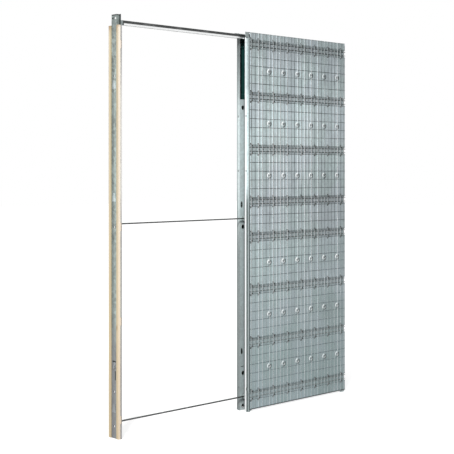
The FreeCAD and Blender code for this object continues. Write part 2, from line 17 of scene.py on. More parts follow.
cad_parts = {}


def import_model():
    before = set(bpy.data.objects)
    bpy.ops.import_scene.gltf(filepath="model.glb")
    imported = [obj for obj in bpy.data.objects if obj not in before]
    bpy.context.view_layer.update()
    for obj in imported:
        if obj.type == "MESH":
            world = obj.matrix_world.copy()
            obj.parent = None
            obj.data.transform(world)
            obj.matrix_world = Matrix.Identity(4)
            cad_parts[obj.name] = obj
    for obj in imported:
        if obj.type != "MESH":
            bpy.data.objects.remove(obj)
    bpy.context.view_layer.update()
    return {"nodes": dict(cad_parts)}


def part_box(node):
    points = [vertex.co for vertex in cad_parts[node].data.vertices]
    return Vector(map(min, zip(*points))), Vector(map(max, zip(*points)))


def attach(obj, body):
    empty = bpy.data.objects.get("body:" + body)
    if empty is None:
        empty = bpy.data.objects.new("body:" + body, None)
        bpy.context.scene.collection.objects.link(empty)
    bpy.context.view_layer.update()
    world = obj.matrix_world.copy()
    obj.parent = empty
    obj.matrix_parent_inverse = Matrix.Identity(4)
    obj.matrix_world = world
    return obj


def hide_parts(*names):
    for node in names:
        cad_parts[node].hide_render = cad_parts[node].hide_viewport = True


LOG = logging.getLogger("pocket_door_frame")
BODY = "root"
MM = 0.001
# The part of a face's normal along an axis from which the face looks that way.
FACING = 0.5
BAND_HEIGHTS = tuple(MM * height for height in (93, 393, 693, 993, 1193, 1493, 1793, 2093))

Colour = tuple[float, float, float]
Scale = tuple[float, float, float]
Point = tuple[float, float, float]
Span = tuple[float, float]
Value = Union["Signal", float]


class Side(Enum):
    """The two faces of the cassette and the sign of Y on each."""

    FRONT = -1
    BACK = 1

    @property
    def word(self) -> str:
        """The word that starts the names of this side's pieces."""
        return self.name.lower()


class Axis(Enum):
    """An axis of the frame and its place in a vector."""

    X = 0
    Y = 1
    Z = 2


class Signal:
    """A shader socket that can be used in Python sums."""

    def __init__(self, bench: "Bench", socket: bpy.types.NodeSocket) -> None:
        """Keep the socket and the bench that it belongs to."""
        self.bench = bench
        self.socket = socket

    def maths(self, operation: str, *others: Value) -> "Signal":
        """Add one Math node that starts from this value.

        Args:
            operation: the Math node's operation.
            others: the node's other values or links.

        Returns:
            The node's result.
        """
        return self.bench.maths(operation, self, *others)

    def __add__(self, other: Value) -> "Signal":
        """This value plus another."""
        return self.maths("ADD", other)

    def __radd__(self, other: float) -> "Signal":
        """A number plus this value."""
        return self.bench.maths("ADD", other, self)

    def __sub__(self, other: Value) -> "Signal":
        """This value less another."""
        return self.maths("SUBTRACT", other)

    def __rsub__(self, other: float) -> "Signal":
        """A number less this value."""
        return self.bench.maths("SUBTRACT", other, self)

    def __mul__(self, other: Value) -> "Signal":
        """This value times another."""
        return self.maths("MULTIPLY", other)

    def __rmul__(self, other: float) -> "Signal":
        """A number times this value."""
        return self.bench.maths("MULTIPLY", other, self)

    def __truediv__(self, other: Value) -> "Signal":
        """This value divided by another."""
        return self.maths("DIVIDE", other)

    def __lt__(self, other: Value) -> "Signal":
        """One where this value is below another, or else zero."""
        return self.maths("LESS_THAN", other)

    def __gt__(self, other: Value) -> "Signal":
        """One where this value is above another, or else zero."""
        return self.maths("GREATER_THAN", other)

    def between(self, low: float, high: float) -> "Signal":
        """A smooth step from zero at low to one at high."""
        step = self.bench.node(
            "ShaderNodeMapRange",
            {"interpolation_type": "SMOOTHSTEP"},
            {"Value": self, "From Min": low, "From Max": high},
        )
        return self.bench.out(step, "Result")


class Bench:
    """The node tree of one finish, with one way to add any node."""

    mix_factor = 0
    mix_first = 6
    mix_second = 7
    mix_result = 2

    def __init__(self, tree: bpy.types.NodeTree) -> None:
        """Clear the tree and start afresh."""
        self.tree = tree
        self.tree.nodes.clear()

    def node(
        self,
        kind: str,
        settings: dict[str, Any] | None = None,
        sockets: dict[str | int, Any] | None = None,
    ) -> bpy.types.Node:
        """Add a node.

        Args:
            kind: the node's type.
            settings: properties of the node.
            sockets: values or links of its inputs, by name or number.

        Returns:
            The new node.
        """
        made = self.tree.nodes.new(kind)
        for name, value in (settings or {}).items():
            setattr(made, name, value)
        for name, value in (sockets or {}).items():
            socket = made.inputs[name]
            if isinstance(value, Signal):
                self.tree.links.new(value.socket, socket)
            elif isinstance(value, bpy.types.NodeSocket):
                self.tree.links.new(value, socket)
            else:
                socket.default_value = value
        return made

    def out(self, node: bpy.types.Node, name: str | int = 0) -> Signal:
        """Wrap one output of a node."""
        return Signal(self, node.outputs[name])

    def maths(self, operation: str, *values: Value) -> Signal:
        """Add a Math node and wrap its result."""
        return self.out(self.node("ShaderNodeMath", {"operation": operation}, dict(enumerate(values))))

    def blend(self, factor: Value, first: Any, second: Any) -> Signal:
        """Mix two colours.

        Args:
            factor: zero for the first colour, one for the second.
            first: a colour or a link to one.
            second: a colour or a link to one.

        Returns:
            The mixed colour.
        """
        settings = {"data_type": "RGBA", "clamp_factor": True}
        ends = {
            self.mix_factor: factor,
            self.mix_first: self.colour(first),
            self.mix_second: self.colour(second),
        }
        return self.out(self.node("ShaderNodeMix", settings, ends), self.mix_result)

    def shade(self, colour: Any, factor: Value) -> Signal:
        """Make a colour lighter or darker.

        Args:
            colour: a colour or a link to one.
            factor: what each part of it is multiplied by.

        Returns:
            The changed colour.
        """
        scaled = self.node("ShaderNodeVectorMath", {"operation": "SCALE"}, {"Scale": factor})
        if isinstance(colour, Signal):
            self.tree.links.new(colour.socket, scaled.inputs[0])
        else:
            scaled.inputs[0].default_value = colour
        return self.out(scaled)

    @staticmethod
    def colour(value: Any) -> Any:
        """A plain colour with its alpha, or a link as it is."""
        return value if isinstance(value, Signal) else (*value, 1.0)

    def place(self) -> Signal:
        """The piece's own coordinates."""
        return self.out(self.node("ShaderNodeTexCoord"), "Object")

    def facing(self) -> Signal:
        """The direction that the surface faces, in the piece's own coordinates."""
        return self.out(self.node("ShaderNodeTexCoord"), "Normal")

    def parts(self, vector: Signal) -> tuple[Signal, Signal, Signal]:
        """Split a vector into its three values."""
        split = self.node("ShaderNodeSeparateXYZ", None, {0: vector})
        return self.out(split, 0), self.out(split, 1), self.out(split, 2)

    def stretched(self, vector: Signal, scale: Scale) -> Signal:
        """Scale coordinates by a factor along each axis."""
        return self.out(self.node("ShaderNodeMapping", None, {"Vector": vector, "Scale": scale}))

    def noise(self, vector: Signal, scale: float = 1.0, detail: float = 2.0, rough: float = 0.5) -> Signal:
        """A cloudy value from 0 to 1 that averages a half."""
        sockets = {"Vector": vector, "Scale": scale, "Detail": detail, "Roughness": rough}
        return self.out(self.node("ShaderNodeTexNoise", None, sockets), 0)

    def chance(self, number: Signal) -> Signal:
        """A value from 0 to 1 by chance, the same for the same number."""
        return self.out(self.node("ShaderNodeTexWhiteNoise", {"noise_dimensions": "1D"}, {"W": number}))

    def bump(self, height: Signal, depth: float, strength: float) -> Signal:
        """A bumped normal of that depth in metres."""
        sockets = {"Height": height, "Distance": depth, "Strength": strength}
        return self.out(self.node("ShaderNodeBump", None, sockets))

    def surface(self, colour: Signal, rough: Value, metal: float, normal: Signal) -> None:
        """Finish the tree with the surface shader.

        Args:
            colour: the base colour.
            rough: the roughness.
            metal: the share of bare metal.
            normal: the bumped normal.
        """
        shader = self.node(
            "ShaderNodeBsdfPrincipled",
            None,
            {"Base Color": colour, "Roughness": rough, "Metallic": metal, "Normal": normal},
        )
        self.node("ShaderNodeOutputMaterial", None, {"Surface": shader.outputs[0]})


@dataclass(frozen=True)
class Finish:
    """A finish with its name and its main tone; each kind fills in its own nodes."""

    name: str
    tone: Colour

    def material(self) -> bpy.types.Material:
        """Build the finish.

        Returns:
            The material.
        """
        made = bpy.data.materials.new(self.name)
        made.use_nodes = True
        self.fill(Bench(made.node_tree))
        return made

    def fill(self, bench: Bench) -> None:
        """Add the finish's nodes."""
        raise NotImplementedError


def in_bands(height: Signal, half: float) -> Signal:
    """Find the pressed bands of the side sheets.

    Args:
        height: the place above the floor.
        half: how far a band reaches from its middle.

    Returns:
        One in a band, or else zero.
    """
    found = 0.0
    for band in BAND_HEIGHTS:
        found = (height - band).maths("ABSOLUTE").maths("LESS_THAN", half) + found
    return found


def close_to(place: Signal, middle: float, span: Span) -> Signal:
    """One close to a middle, falling smoothly to zero over a span of distances from it."""
    return 1.0 - (place - middle).maths("ABSOLUTE").between(*span)


def low_down(height: Signal, span: Span, strength: float) -> Signal:
    """A strength near the floor that falls smoothly to zero over a span of heights."""
    return strength - height.between(*span) * strength


@dataclass(frozen=True)
class Zinc(Finish):
    """Galvanised steel, with spangle, mill streaks running up it, a few dark rough stains and, where given,
    painted shade on the faces that look into the pocket.
    """

    spangle: float = 0.011
    contrast: float = 0.34
    streaks: float = 0.30
    stains: float = 0.25
    rough: float = 0.42
    metal: float = 0.75
    inside: Colour | None = None
    reach: float = 2 * MM
    wander: float = 1.4
    clouds: float = 0.35
    cloud_scale: float = 3.0
    cooling: Colour = (0.90, 1.02, 1.03)
    streak_scale: Scale = (70.0, 70.0, 1.1)
    stain_scale: Scale = (16.0, 16.0, 6.0)
    stain_span: Span = (0.54, 0.72)
    flake_rough: float = 0.16
    stain_rough: float = 0.12
    grit_scale: float = 420.0
    relief: float = 0.25 * MM

    def fill(self, bench: Bench) -> None:
        """Add the finish's nodes.

        Args:
            bench: the finish's node maker.
        """
        place = bench.place()
        wander = bench.noise(place, self.wander / self.spangle, 1.0)
        warped = bench.out(
            bench.node("ShaderNodeVectorMath", {"operation": "ADD"}, {0: place, 1: wander * self.spangle})
        )
        flakes = bench.node("ShaderNodeTexVoronoi", None, {"Vector": warped, "Scale": 1 / self.spangle})
        flake = bench.parts(bench.out(flakes, "Color"))[0]
        streak = bench.noise(bench.stretched(place, self.streak_scale), 1.0, 3.0)
        cloud = bench.noise(place, self.cloud_scale, 3.0)
        stain = bench.noise(bench.stretched(place, self.stain_scale), 1.0, 4.0, 0.6)
        stain = stain.between(*self.stain_span)
        level = 1.0 + (flake - 0.5) * self.contrast + (streak - 0.5) * self.streaks
        level = (level + (cloud - 0.5) * self.clouds) * (1.0 - stain * self.stains)
        colour = bench.shade(bench.blend(cloud, self.tone, self.cooler()), level)
        colour = self.wear_and_painted_light(bench, place, colour)
        # Painted shade: faces that look into the pocket take a dark colour.
        if self.inside is not None:
            colour = bench.blend(self.pocket_shade_mask(bench, place), colour, self.inner(bench, place, level))
        rough = (flake - 0.5) * self.flake_rough + stain * self.stain_rough + self.rough
        height = flake * 0.5 + bench.noise(place, self.grit_scale, 2.0) * 0.5
        bench.surface(colour, rough, self.metal, bench.bump(height, self.relief, 0.35))

    def cooler(self) -> Colour:
        """The greener, cooler tone that the clouds drift to."""
        red, green, blue = (part * change for part, change in zip(self.tone, self.cooling))
        return red, green, blue

    def wear_and_painted_light(self, bench: Bench, place: Signal, colour: Signal) -> Signal:
        """The colour after wear and painted light and shade; plain zinc adds none."""
        return colour

    def inner(self, bench: Bench, place: Signal, level: Signal) -> Signal:
        """Painted shade: the dark colour of the faces that look into the pocket."""
        return bench.shade(self.inside, level)

    def pocket_shade_mask(self, bench: Bench, place: Signal) -> Signal:
        """One on the faces that take the painted pocket shade: those that look into the pocket from farther
        out than the reach.
        """
        across = bench.parts(place)[Axis.Y.value]
        looks = bench.parts(bench.facing())[Axis.Y.value]
        return (across * looks) < -self.reach


@dataclass(frozen=True)
class SheetZinc(Zinc):
    """Zinc of the side sheets, with painted light and shade on the dimples, in the bands and beside the
    wires.
    """

    mouth: float = 0.0
    length: float = 840 * MM
    foot: float = 11 * MM
    top: float = 2158 * MM
    foot_hem: float = 7 * MM
    top_hem: float = 5 * MM
    mouth_hem: float = 9 * MM
    first_wire: float = 15 * MM
    wire_pitch: float = 30 * MM
    glint_shift: float = 0.2 * MM
    dust_shift: float = 7.6 * MM
    trace_half: float = 2.4 * MM
    band_half: float = 20 * MM
    rod_shadow_half: float = 7 * MM
    rod_shadow_rise: float = 5 * MM
    jamb_reach: float = 45 * MM
    jamb_top: float = 1779 * MM
    bright_at: float = 1620 * MM
    bright_span: Span = (50 * MM, 340 * MM)
    light_span: Span = (100 * MM, 1000 * MM)
    fade_span: Span = (900 * MM, 1500 * MM)
    head_span: Span = (1980 * MM, 2060 * MM)
    green_span: Span = (200 * MM, 1300 * MM)
    trace_span: Span = (200 * MM, 1400 * MM)
    band_shade_span: Span = (200 * MM, 1200 * MM)
    dimple_glint_span: Span = (200 * MM, 1000 * MM)
    faint_span: Span = (1100 * MM, 1600 * MM)
    dimple_first: float = 165 * MM
    dimple_pitch: float = 120 * MM
    dimples_in_row: int = 6
    row_low: float = 243 * MM
    row_pitch: float = 300 * MM
    rows_in_group: int = 3
    row_group: float = 1100 * MM
    dish: float = 7 * MM
    crown: float = 12.5 * MM
    shadow: float = 21 * MM
    floor_level: float = 0.70
    light_gain: float = 0.39
    bright_gain: float = 0.22
    fade: float = 0.28
    fade_saved: float = 0.12
    head_loss: float = 0.2
    foot_dark: float = 0.75
    top_dark: float = 0.3
    mouth_dark: float = 0.85
    sheet_glint: float = 0.75
    trace_least: float = 0.30
    trace_chance: float = 0.55
    trace_low: float = 0.46
    trace_edge: Span = (0.6, 1.4)
    band_shade_base: float = 0.10
    band_shade_gain: float = 0.20
    flat_from: float = 0.985
    steep_from: float = 0.7
    level_from: float = 0.03
    upward: float = 0.45
    shade_slope: Span = (0.04, 0.22)
    dimple_glint_slope: Span = (0.08, 0.28)
    far_along: float = 0.8
    far_down: float = 0.6
    corner_dark: float = 0.9
    faint: float = 0.6
    rim_faint: float = 0.75
    dish_share: float = 0.95
    rim_share: float = 0.85
    far_shadow_share: float = 0.9
    drift_scale: Scale = (7.0, 7.0, 5.0)
    drift_span: Span = (0.40, 0.62)
    lilac_share: float = 0.28
    lilac: Colour = (0.45, 0.465, 0.545)
    green_share: float = 0.35
    sea_green: Colour = (0.355, 0.495, 0.505)
    dimple_shade: Colour = (0.05, 0.07, 0.07)
    shade_side: Colour = (0.03, 0.04, 0.04)
    dimple_glint_low: Colour = (0.80, 0.85, 0.86)
    dimple_glint_high: Colour = (0.95, 0.96, 0.96)
    rim_glint: Colour = (0.90, 0.92, 0.92)

    def wear_and_painted_light(self, bench: Bench, place: Signal, colour: Signal) -> Signal:
        """The colour after tints and painted light and shade.

        Args:
            bench: the finish's node maker.
            place: the piece's own coordinates.
            colour: the zinc's colour.

        Returns:
            The colour with its painted light level, tints, painted hem shade, painted wire glints and
            shadows, painted band shade and painted dimple light and shade.
        """
        along, _, height = bench.parts(place)
        # Painted light: the sheet is brighter high up and near the mouth, with painted shade under the
        # head.
        colour = bench.shade(colour, self.painted_sheen(along, height))
        drift = bench.noise(bench.stretched(place, self.drift_scale), 1.0, 2.0).between(*self.drift_span)
        colour = bench.blend(drift * self.lilac_share, colour, self.lilac)
        colour = bench.blend(low_down(height, self.green_span, self.green_share), colour, self.sea_green)
        # Painted shade on the folded edges at the foot, the top and the mouth.
        colour = bench.shade(colour, 1.0 - self.hem_shade(along, height))
        # Painted glint: a light line on the sheet at each upright wire.
        sheet_glint = self.trace(bench, along, height, self.glint_shift, self.trace_half) * self.sheet_glint
        # Painted shadow: a dark line on the sheet beside each upright wire.
        dust_and_shadow = self.trace(bench, along, height, self.dust_shift, self.trace_half)
        colour = bench.shade(colour, 1.0 + sheet_glint - dust_and_shadow)
        # Painted shade: the sheet is darker in the pressed bands.
        band_shade = self.band_shade_base + height.between(*self.band_shade_span) * self.band_shade_gain
        band_shade = in_bands(height, self.band_half) * band_shade
        # Painted shadow: dark dots between the wires in each band, for the rods' shadows.
        between_wires = self.trace(bench, along, height, self.wire_pitch / 2, self.rod_shadow_half)
        rod_shadow_dots = in_bands(height, self.rod_shadow_rise) * between_wires
        colour = bench.shade(colour, 1.0 - band_shade.maths("MAXIMUM", rod_shadow_dots))
        # Painted highlight and shade on the dimples' slopes.
        colour = self.rubbed_and_lit(bench, colour, along, height)
        # Painted shade, highlight and shadow round each dimple.
        return self.dished(bench, colour, along, height)

    def painted_sheen(self, along: Signal, height: Signal) -> Signal:
        """The sheet's painted light level: brightest high up and at the mouth, with painted shade under the
        head.

        Args:
            along: the place along the wall.
            height: the place above the floor.

        Returns:
            The factor on the colour.
        """
        level = height.between(*self.light_span) * self.light_gain + self.floor_level
        level = level + close_to(height, self.bright_at, self.bright_span) * self.bright_gain
        fade = self.fade - height.between(*self.fade_span) * self.fade_saved
        level = level * (1.0 - (along - self.mouth) / self.length * fade)
        return level - height.between(*self.head_span) * self.head_loss

    def hem_shade(self, along: Signal, height: Signal) -> Signal:
        """How much painted shade darkens the folded edges: most at the mouth and the foot, less at the top.

        Args:
            along: the place along the wall.
            height: the place above the floor.

        Returns:
            The share of the colour that is lost.
        """
        foot = (height < (self.foot + self.foot_hem)) * self.foot_dark
        top = (height > (self.top - self.top_hem)) * self.top_dark
        return (foot + top).maths("MAXIMUM", (along < (self.mouth + self.mouth_hem)) * self.mouth_dark)

    def trace(self, bench: Bench, along: Signal, height: Signal, shift: float, half: float) -> Signal:
        """A line up the sheet beside each upright wire, for painted glints and shadows.

        Args:
            bench: the finish's node maker.
            along: the place along the wall.
            height: the place above the floor.
            shift: from the wire to the line.
            half: half the line's width.

        Returns:
            The line's strength, by chance from wire to wire and less near the floor.
        """
        turns = (along - (self.mouth + self.first_wire + shift)) / self.wire_pitch + 0.5
        number = turns.maths("FLOOR")
        off = (turns - number - 0.5).maths("ABSOLUTE") * self.wire_pitch
        strength = self.trace_least + bench.chance(number) * self.trace_chance
        strength = strength * (self.trace_low + height.between(*self.trace_span) * (1 - self.trace_low))
        start, end = self.trace_edge
        return (1.0 - off.between(half * start, half * end)) * strength

    def rubbed_and_lit(self, bench: Bench, colour: Signal, along: Signal, height: Signal) -> Signal:
        """A painted highlight on the dimples' slopes that look to the mouth and up, painted shade on those
        opposite.

        Args:
            bench: the finish's node maker.
            colour: the sheet's colour so far.
            along: the place along the wall.
            height: the place above the floor.

        Returns:
            The colour with its painted dimple light and shade, the highlight fainter high up and away from
            the mouth.
        """
        ahead, out, up = bench.parts(bench.facing())
        steep = out.maths("ABSOLUTE")
        slope = (steep < self.flat_from) * (steep > self.steep_from)
        slope = slope * (ahead.maths("ABSOLUTE") > self.level_from)
        toward = up * self.upward - ahead
        bright = bench.blend(height.between(*self.dimple_glint_span), self.dimple_glint_low, self.dimple_glint_high)
        away = (toward * -1.0).between(*self.shade_slope)
        colour = bench.blend(slope * away, colour, self.shade_side)
        faint = height.between(*self.faint_span) * (along - self.mouth) / self.length * self.faint
        return bench.blend(slope * toward.between(*self.dimple_glint_slope) * (1.0 - faint), colour, bright)

    def dished(self, bench: Bench, colour: Signal, along: Signal, height: Signal) -> Signal:
        """Painted shade in each dimple's dish, a painted highlight on its far rim and a painted shadow past
        its foot.

        Args:
            bench: the finish's node maker.
            colour: the sheet's colour so far.
            along: the place along the wall.
            height: the place above the floor.

        Returns:
            The colour with its marked dimples.
        """
        column = (along - (self.mouth + self.dimple_first)) / self.dimple_pitch
        row = (height - (height > self.row_group) * self.row_group - self.row_low) / self.row_pitch
        near_column = (column + 0.5).maths("FLOOR")
        near_row = (row + 0.5).maths("FLOOR")
        pressed = (near_column > -0.5) * (near_column < (self.dimples_in_row - 0.5))
        pressed = pressed * (near_row < (self.rows_in_group - 0.5))
        beside = (column - near_column) * self.dimple_pitch
        above = (row - near_row) * self.row_pitch
        radius = (beside * beside + above * above).maths("SQRT")
        far = ((beside * self.far_along - above * self.far_down) > self.dish) * pressed
        clear = 1.0 - height.between(*self.faint_span) * self.rim_faint
        # Painted shade in the dish, then a painted highlight on the far rim.
        colour = bench.blend((radius < self.dish) * pressed * self.dish_share, colour, self.dimple_shade)
        colour = bench.blend((radius < self.crown) * far * clear * self.rim_share, colour, self.rim_glint)
        # Painted shadow on the sheet past the dimple's far side.
        far_shadow = (radius > self.crown) * (radius < self.shadow) * far
        return bench.blend(far_shadow * self.far_shadow_share, colour, self.dimple_shade)

    def inner(self, bench: Bench, place: Signal, level: Signal) -> Signal:
        """The painted pocket shade, darkened to nearly black in the closed corner behind a mouth jamb."""
        along, _, height = bench.parts(place)
        behind = (along < (self.mouth + self.jamb_reach)) * (height < self.jamb_top)
        return bench.shade(super().inner(bench, place, level), 1.0 - behind * self.corner_dark)


@dataclass(frozen=True)
class JambZinc(Zinc):
    """Zinc of the mouth jambs, with painted light and shade: a painted highlight along the slot, painted
    shade in the step and painted light brightest at shoulder height.
    """

    slot: float = 20 * MM
    fold: float = 1.8 * MM
    edge_glint_span: Span = (7 * MM, 14 * MM)
    flange: float = 17.2 * MM
    rim: float = 24.5 * MM
    step_out: float = 20 * MM
    mouth: float = 0.0
    turned_in: Span = (18 * MM, 32 * MM)
    bright_at: float = 1480 * MM
    bright_span: Span = (150 * MM, 620 * MM)
    upper_span: Span = (1160 * MM, 1320 * MM)
    window_span: Span = (1760 * MM, 1860 * MM)
    back_window_span: Span = (1700 * MM, 1850 * MM)
    flange_level: float = 0.68
    beyond_gain: float = 0.35
    upper_gain: float = 1.22
    window_loss: float = 0.55
    back_level: float = 0.48
    back_gain: float = 0.80
    back_window_loss: float = 0.18
    face_level: float = 1.15
    face_gain: float = 0.27
    turned_loss: float = 0.45
    edge_glint_loss: float = 0.7
    fold_dark: float = 0.7
    rim_share: float = 0.9
    rim_saved: float = 0.3
    edge_glint: Colour = (0.97, 0.98, 0.98)
    step_shade: Colour = (0.03, 0.045, 0.045)
    rim_shade: Colour = (0.12, 0.15, 0.15)

    def wear_and_painted_light(self, bench: Bench, place: Signal, colour: Signal) -> Signal:
        """The colour after painted light and shade.

        Args:
            bench: the finish's node maker.
            place: the piece's own coordinates.
            colour: the zinc's colour.

        Returns:
            The colour with its painted light levels, painted edge highlight and painted shade in the step.
        """
        along, across, height = bench.parts(place)
        ahead, sideways, _ = bench.parts(bench.facing())
        # Painted light: flanges and inner faces brightest around shoulder height and darker beside the
        # window; the inner face darker where the front flange shades it.
        painted_sheen = close_to(height, self.bright_at, self.bright_span)
        upper = height.between(*self.upper_span)
        beside_window = height.between(*self.window_span)
        fore = across < 0.0
        looks_ahead = ahead < -FACING
        from_slot = across.maths("ABSOLUTE") - self.slot
        beyond = from_slot > self.flange
        flange = self.flange_level + beyond * self.beyond_gain + upper * (self.upper_gain - beyond)
        flange = (flange - beside_window * self.window_loss) * fore
        back_flange = self.back_level + painted_sheen * self.back_gain
        back_flange = back_flange - height.between(*self.back_window_span) * self.back_window_loss
        flange = flange + back_flange * (1.0 - fore)
        turned = (along - self.mouth).between(*self.turned_in) * self.turned_loss
        face = (self.face_level + painted_sheen * self.face_gain) * (1.0 - turned)
        colour = bench.shade(colour, flange * looks_ahead + face * (1.0 - looks_ahead))
        # Painted highlight along the front flange's edge at the slot, fainter beside the window.
        edge = (1.0 - from_slot.between(*self.edge_glint_span)) * looks_ahead * fore
        colour = bench.blend(edge * (1.0 - beside_window * self.edge_glint_loss), colour, self.edge_glint)
        # Painted shade on the front flange's rolled edge right at the slot.
        colour = bench.shade(colour, 1.0 - (from_slot < self.fold) * looks_ahead * fore * self.fold_dark)
        # Painted shade in the step, lower down.
        step = ((across * sideways) > self.step_out) * (along < self.mouth)
        colour = bench.blend(step * (1.0 - upper), colour, self.step_shade)
        # Painted shade on the flanges' outer rims, less high up.
        rim = (from_slot > self.rim) * looks_ahead
        return bench.blend(rim * (self.rim_share - upper * self.rim_saved), colour, self.rim_shade)


@dataclass(frozen=True)
class PostZinc(Zinc):
    """Zinc of the strike post and its stirrup: dark on the cut top edge, with painted shade past a given
    place.

    The web has painted light, lighter to the front than to the back, and is duller near the floor, and the
    lips over the battens' edges are lightest about 1.5 m up.
    """

    top: float = 2173 * MM
    bend: float = 12 * MM
    lip: float = 40 * MM
    web_top: float = 1950 * MM
    low_span: Span = (350 * MM, 700 * MM)
    bright_at: float = 1500 * MM
    bright_span: Span = (200 * MM, 500 * MM)
    shoulder: float = 2117 * MM
    inside_from: float = 10 * MM
    cut: float = 6 * MM
    past: float = -876 * MM
    flanks: float = 0.0
    front_gain: float = 0.30
    lean_loss: float = 0.55
    foot_share: float = 0.75
    lip_share: float = 0.85
    edge_share: float = 0.85
    past_share: float = 0.93
    inside_share: float = 0.95
    dull_foot: Colour = (0.185, 0.18, 0.195)
    dull_lip: Colour = (0.40, 0.385, 0.38)
    lip_peak_tone: Colour = (0.74, 0.71, 0.68)
    cut_edge_and_shade: Colour = (0.02, 0.024, 0.024)

    def wear_and_painted_light(self, bench: Bench, place: Signal, colour: Signal) -> Signal:
        """The colour after cutting, with its tones and painted light and shade.

        Args:
            bench: the finish's node maker.
            place: the piece's own coordinates.
            colour: the zinc's colour.

        Returns:
            The colour with its painted web light, duller foot, lighter lips, dark cut edge and painted
            shade.
        """
        along, across, height = bench.parts(place)
        ahead, sideways, _ = bench.parts(bench.facing())
        # Painted light: the web is lighter to the front and darker to the back.
        lean = across.between(-self.bend, self.bend)
        web = (ahead < -FACING) * (height < self.web_top)
        colour = bench.shade(colour, 1.0 + (self.front_gain - lean * self.lean_loss) * web)
        colour = bench.blend(low_down(height, self.low_span, self.foot_share), colour, self.dull_foot)
        lips = ((across * sideways) > self.lip) * (height < self.shoulder)
        # The lips are lightest about 1.5 m up.
        lip_peak = close_to(height, self.bright_at, self.bright_span)
        lip_colour = bench.blend(lip_peak, self.dull_lip, self.lip_peak_tone)
        colour = bench.blend(lips * self.lip_share, colour, lip_colour)
        edge = (height > (self.top - self.cut)) * self.edge_share
        outward = sideways.maths("ABSOLUTE") * self.flanks - ahead
        # Painted shade on outward faces past a given place.
        shaded = (along > self.past) * (outward > FACING) * self.past_share
        # Painted shade on faces that look inward above the shoulder.
        within = (height > self.shoulder) * ((across * sideways) < -self.inside_from)
        dark = edge.maths("MAXIMUM", shaded).maths("MAXIMUM", within * self.inside_share)
        return bench.blend(dark, colour, self.cut_edge_and_shade)


@dataclass(frozen=True)
class WireZinc(Finish):
    """Drawn galvanised wire with painted glints, bright by chance and where it crosses the bands, and dusty
    at foot and head.
    """

    # The colour of the painted glints.
    bright: Colour
    across: Axis
    pitch: float
    first: float
    share: float = 0.5
    band_glint: float = 0.0
    band_half: float = 16 * MM
    rough: float = 0.26
    metal: float = 1.0
    dusty: Colour = (0.52, 0.58, 0.59)
    foot_span: Span = (150 * MM, 1450 * MM)
    head_span: Span = (1950 * MM, 2080 * MM)
    foot_dust: float = 0.72
    head_dust: float = 0.45
    patchy: float = 1.2
    glint_span: Span = (0.9, 1.3)
    patch_scale: float = 4.0
    fleck_scale: float = 260.0
    relief: float = 0.2 * MM

    def fill(self, bench: Bench) -> None:
        """Add the finish's nodes.

        Args:
            bench: the finish's node maker.
        """
        place = bench.place()
        parts = bench.parts(place)
        height = parts[Axis.Z.value]
        number = ((parts[self.across.value] - self.first) / self.pitch + 0.5).maths("FLOOR")
        patch = bench.noise(place, self.patch_scale, 3.0)
        fleck = bench.noise(place, self.fleck_scale, 2.0)
        start, end = self.glint_span
        # Painted glint: some wires are bright by chance, in patches.
        wire_glint = bench.chance(number) + (patch - 0.5) * self.patchy
        wire_glint = wire_glint.between(start - self.share, end - self.share)
        # Painted glint where the wires cross the bands.
        wire_glint = wire_glint.maths("MAXIMUM", in_bands(height, self.band_half) * self.band_glint)
        dust_and_shadow = low_down(height, self.foot_span, self.foot_dust)
        dust_and_shadow = dust_and_shadow + height.between(*self.head_span) * self.head_dust
        colour = bench.blend(dust_and_shadow, bench.blend(wire_glint, self.tone, self.bright), self.dusty)
        colour = bench.shade(colour, 0.88 + fleck * 0.24)
        rough = (fleck - 0.5) * 0.2 + self.rough
        bench.surface(colour, rough, self.metal, bench.bump(fleck, self.relief, 0.3))


@dataclass(frozen=True)
class DarkSteel(Finish):
    """Dark rolled steel, brushed along X and rubbed in patches, paler at plated ends or near the floor."""

    rubbed_and_lit: Colour
    rough: float = 0.4
    metal: float = 0.7
    ends: Span | None = None
    plate: Colour = (0.36, 0.40, 0.395)
    wear_span: Span = (0.5, 0.68)
    pale: float = 0.0
    pale_span: Span = (200 * MM, 1600 * MM)
    line_scale: Scale = (4.0, 500.0, 500.0)
    patch_scale: float = 22.0
    relief: float = 0.2 * MM

    def fill(self, bench: Bench) -> None:
        """Add the finish's nodes.

        Args:
            bench: the finish's node maker.
        """
        place = bench.place()
        along, _, height = bench.parts(place)
        lines = bench.noise(bench.stretched(place, self.line_scale), 1.0, 3.0)
        patch = bench.noise(place, self.patch_scale, 4.0, 0.6)
        wear = (patch * 0.7 + lines * 0.3).between(*self.wear_span)
        colour = bench.blend(wear, self.tone, self.rubbed_and_lit)
        colour = bench.blend(low_down(height, self.pale_span, self.pale), colour, self.plate)
        if self.ends is not None:
            plated = (along < self.ends[0]) + (along > self.ends[1])
            colour = bench.blend(plated, colour, self.plate)
        colour = bench.shade(colour, 0.8 + lines * 0.4)
        rough = self.rough + (patch - 0.5) * 0.3
        bench.surface(colour, rough, self.metal, bench.bump(lines, self.relief, 0.3))


@dataclass(frozen=True)
class Aluminium(Finish):
    """Extruded aluminium with fine die lines along X."""

    rough: float = 0.32
    metal: float = 0.9
    line_scale: Scale = (2.0, 900.0, 900.0)
    cloud_scale: float = 6.0
    relief: float = 0.1 * MM

    def fill(self, bench: Bench) -> None:
        """Add the finish's nodes.

        Args:
            bench: the finish's node maker.
        """
        place = bench.place()
        lines = bench.noise(bench.stretched(place, self.line_scale), 1.0, 2.0)
        cloud = bench.noise(place, self.cloud_scale, 3.0)
        colour = bench.shade(self.tone, 0.86 + lines * 0.16 + cloud * 0.12)
        rough = self.rough + (lines - 0.5) * 0.2
        bench.surface(colour, rough, self.metal, bench.bump(lines, self.relief, 0.25))


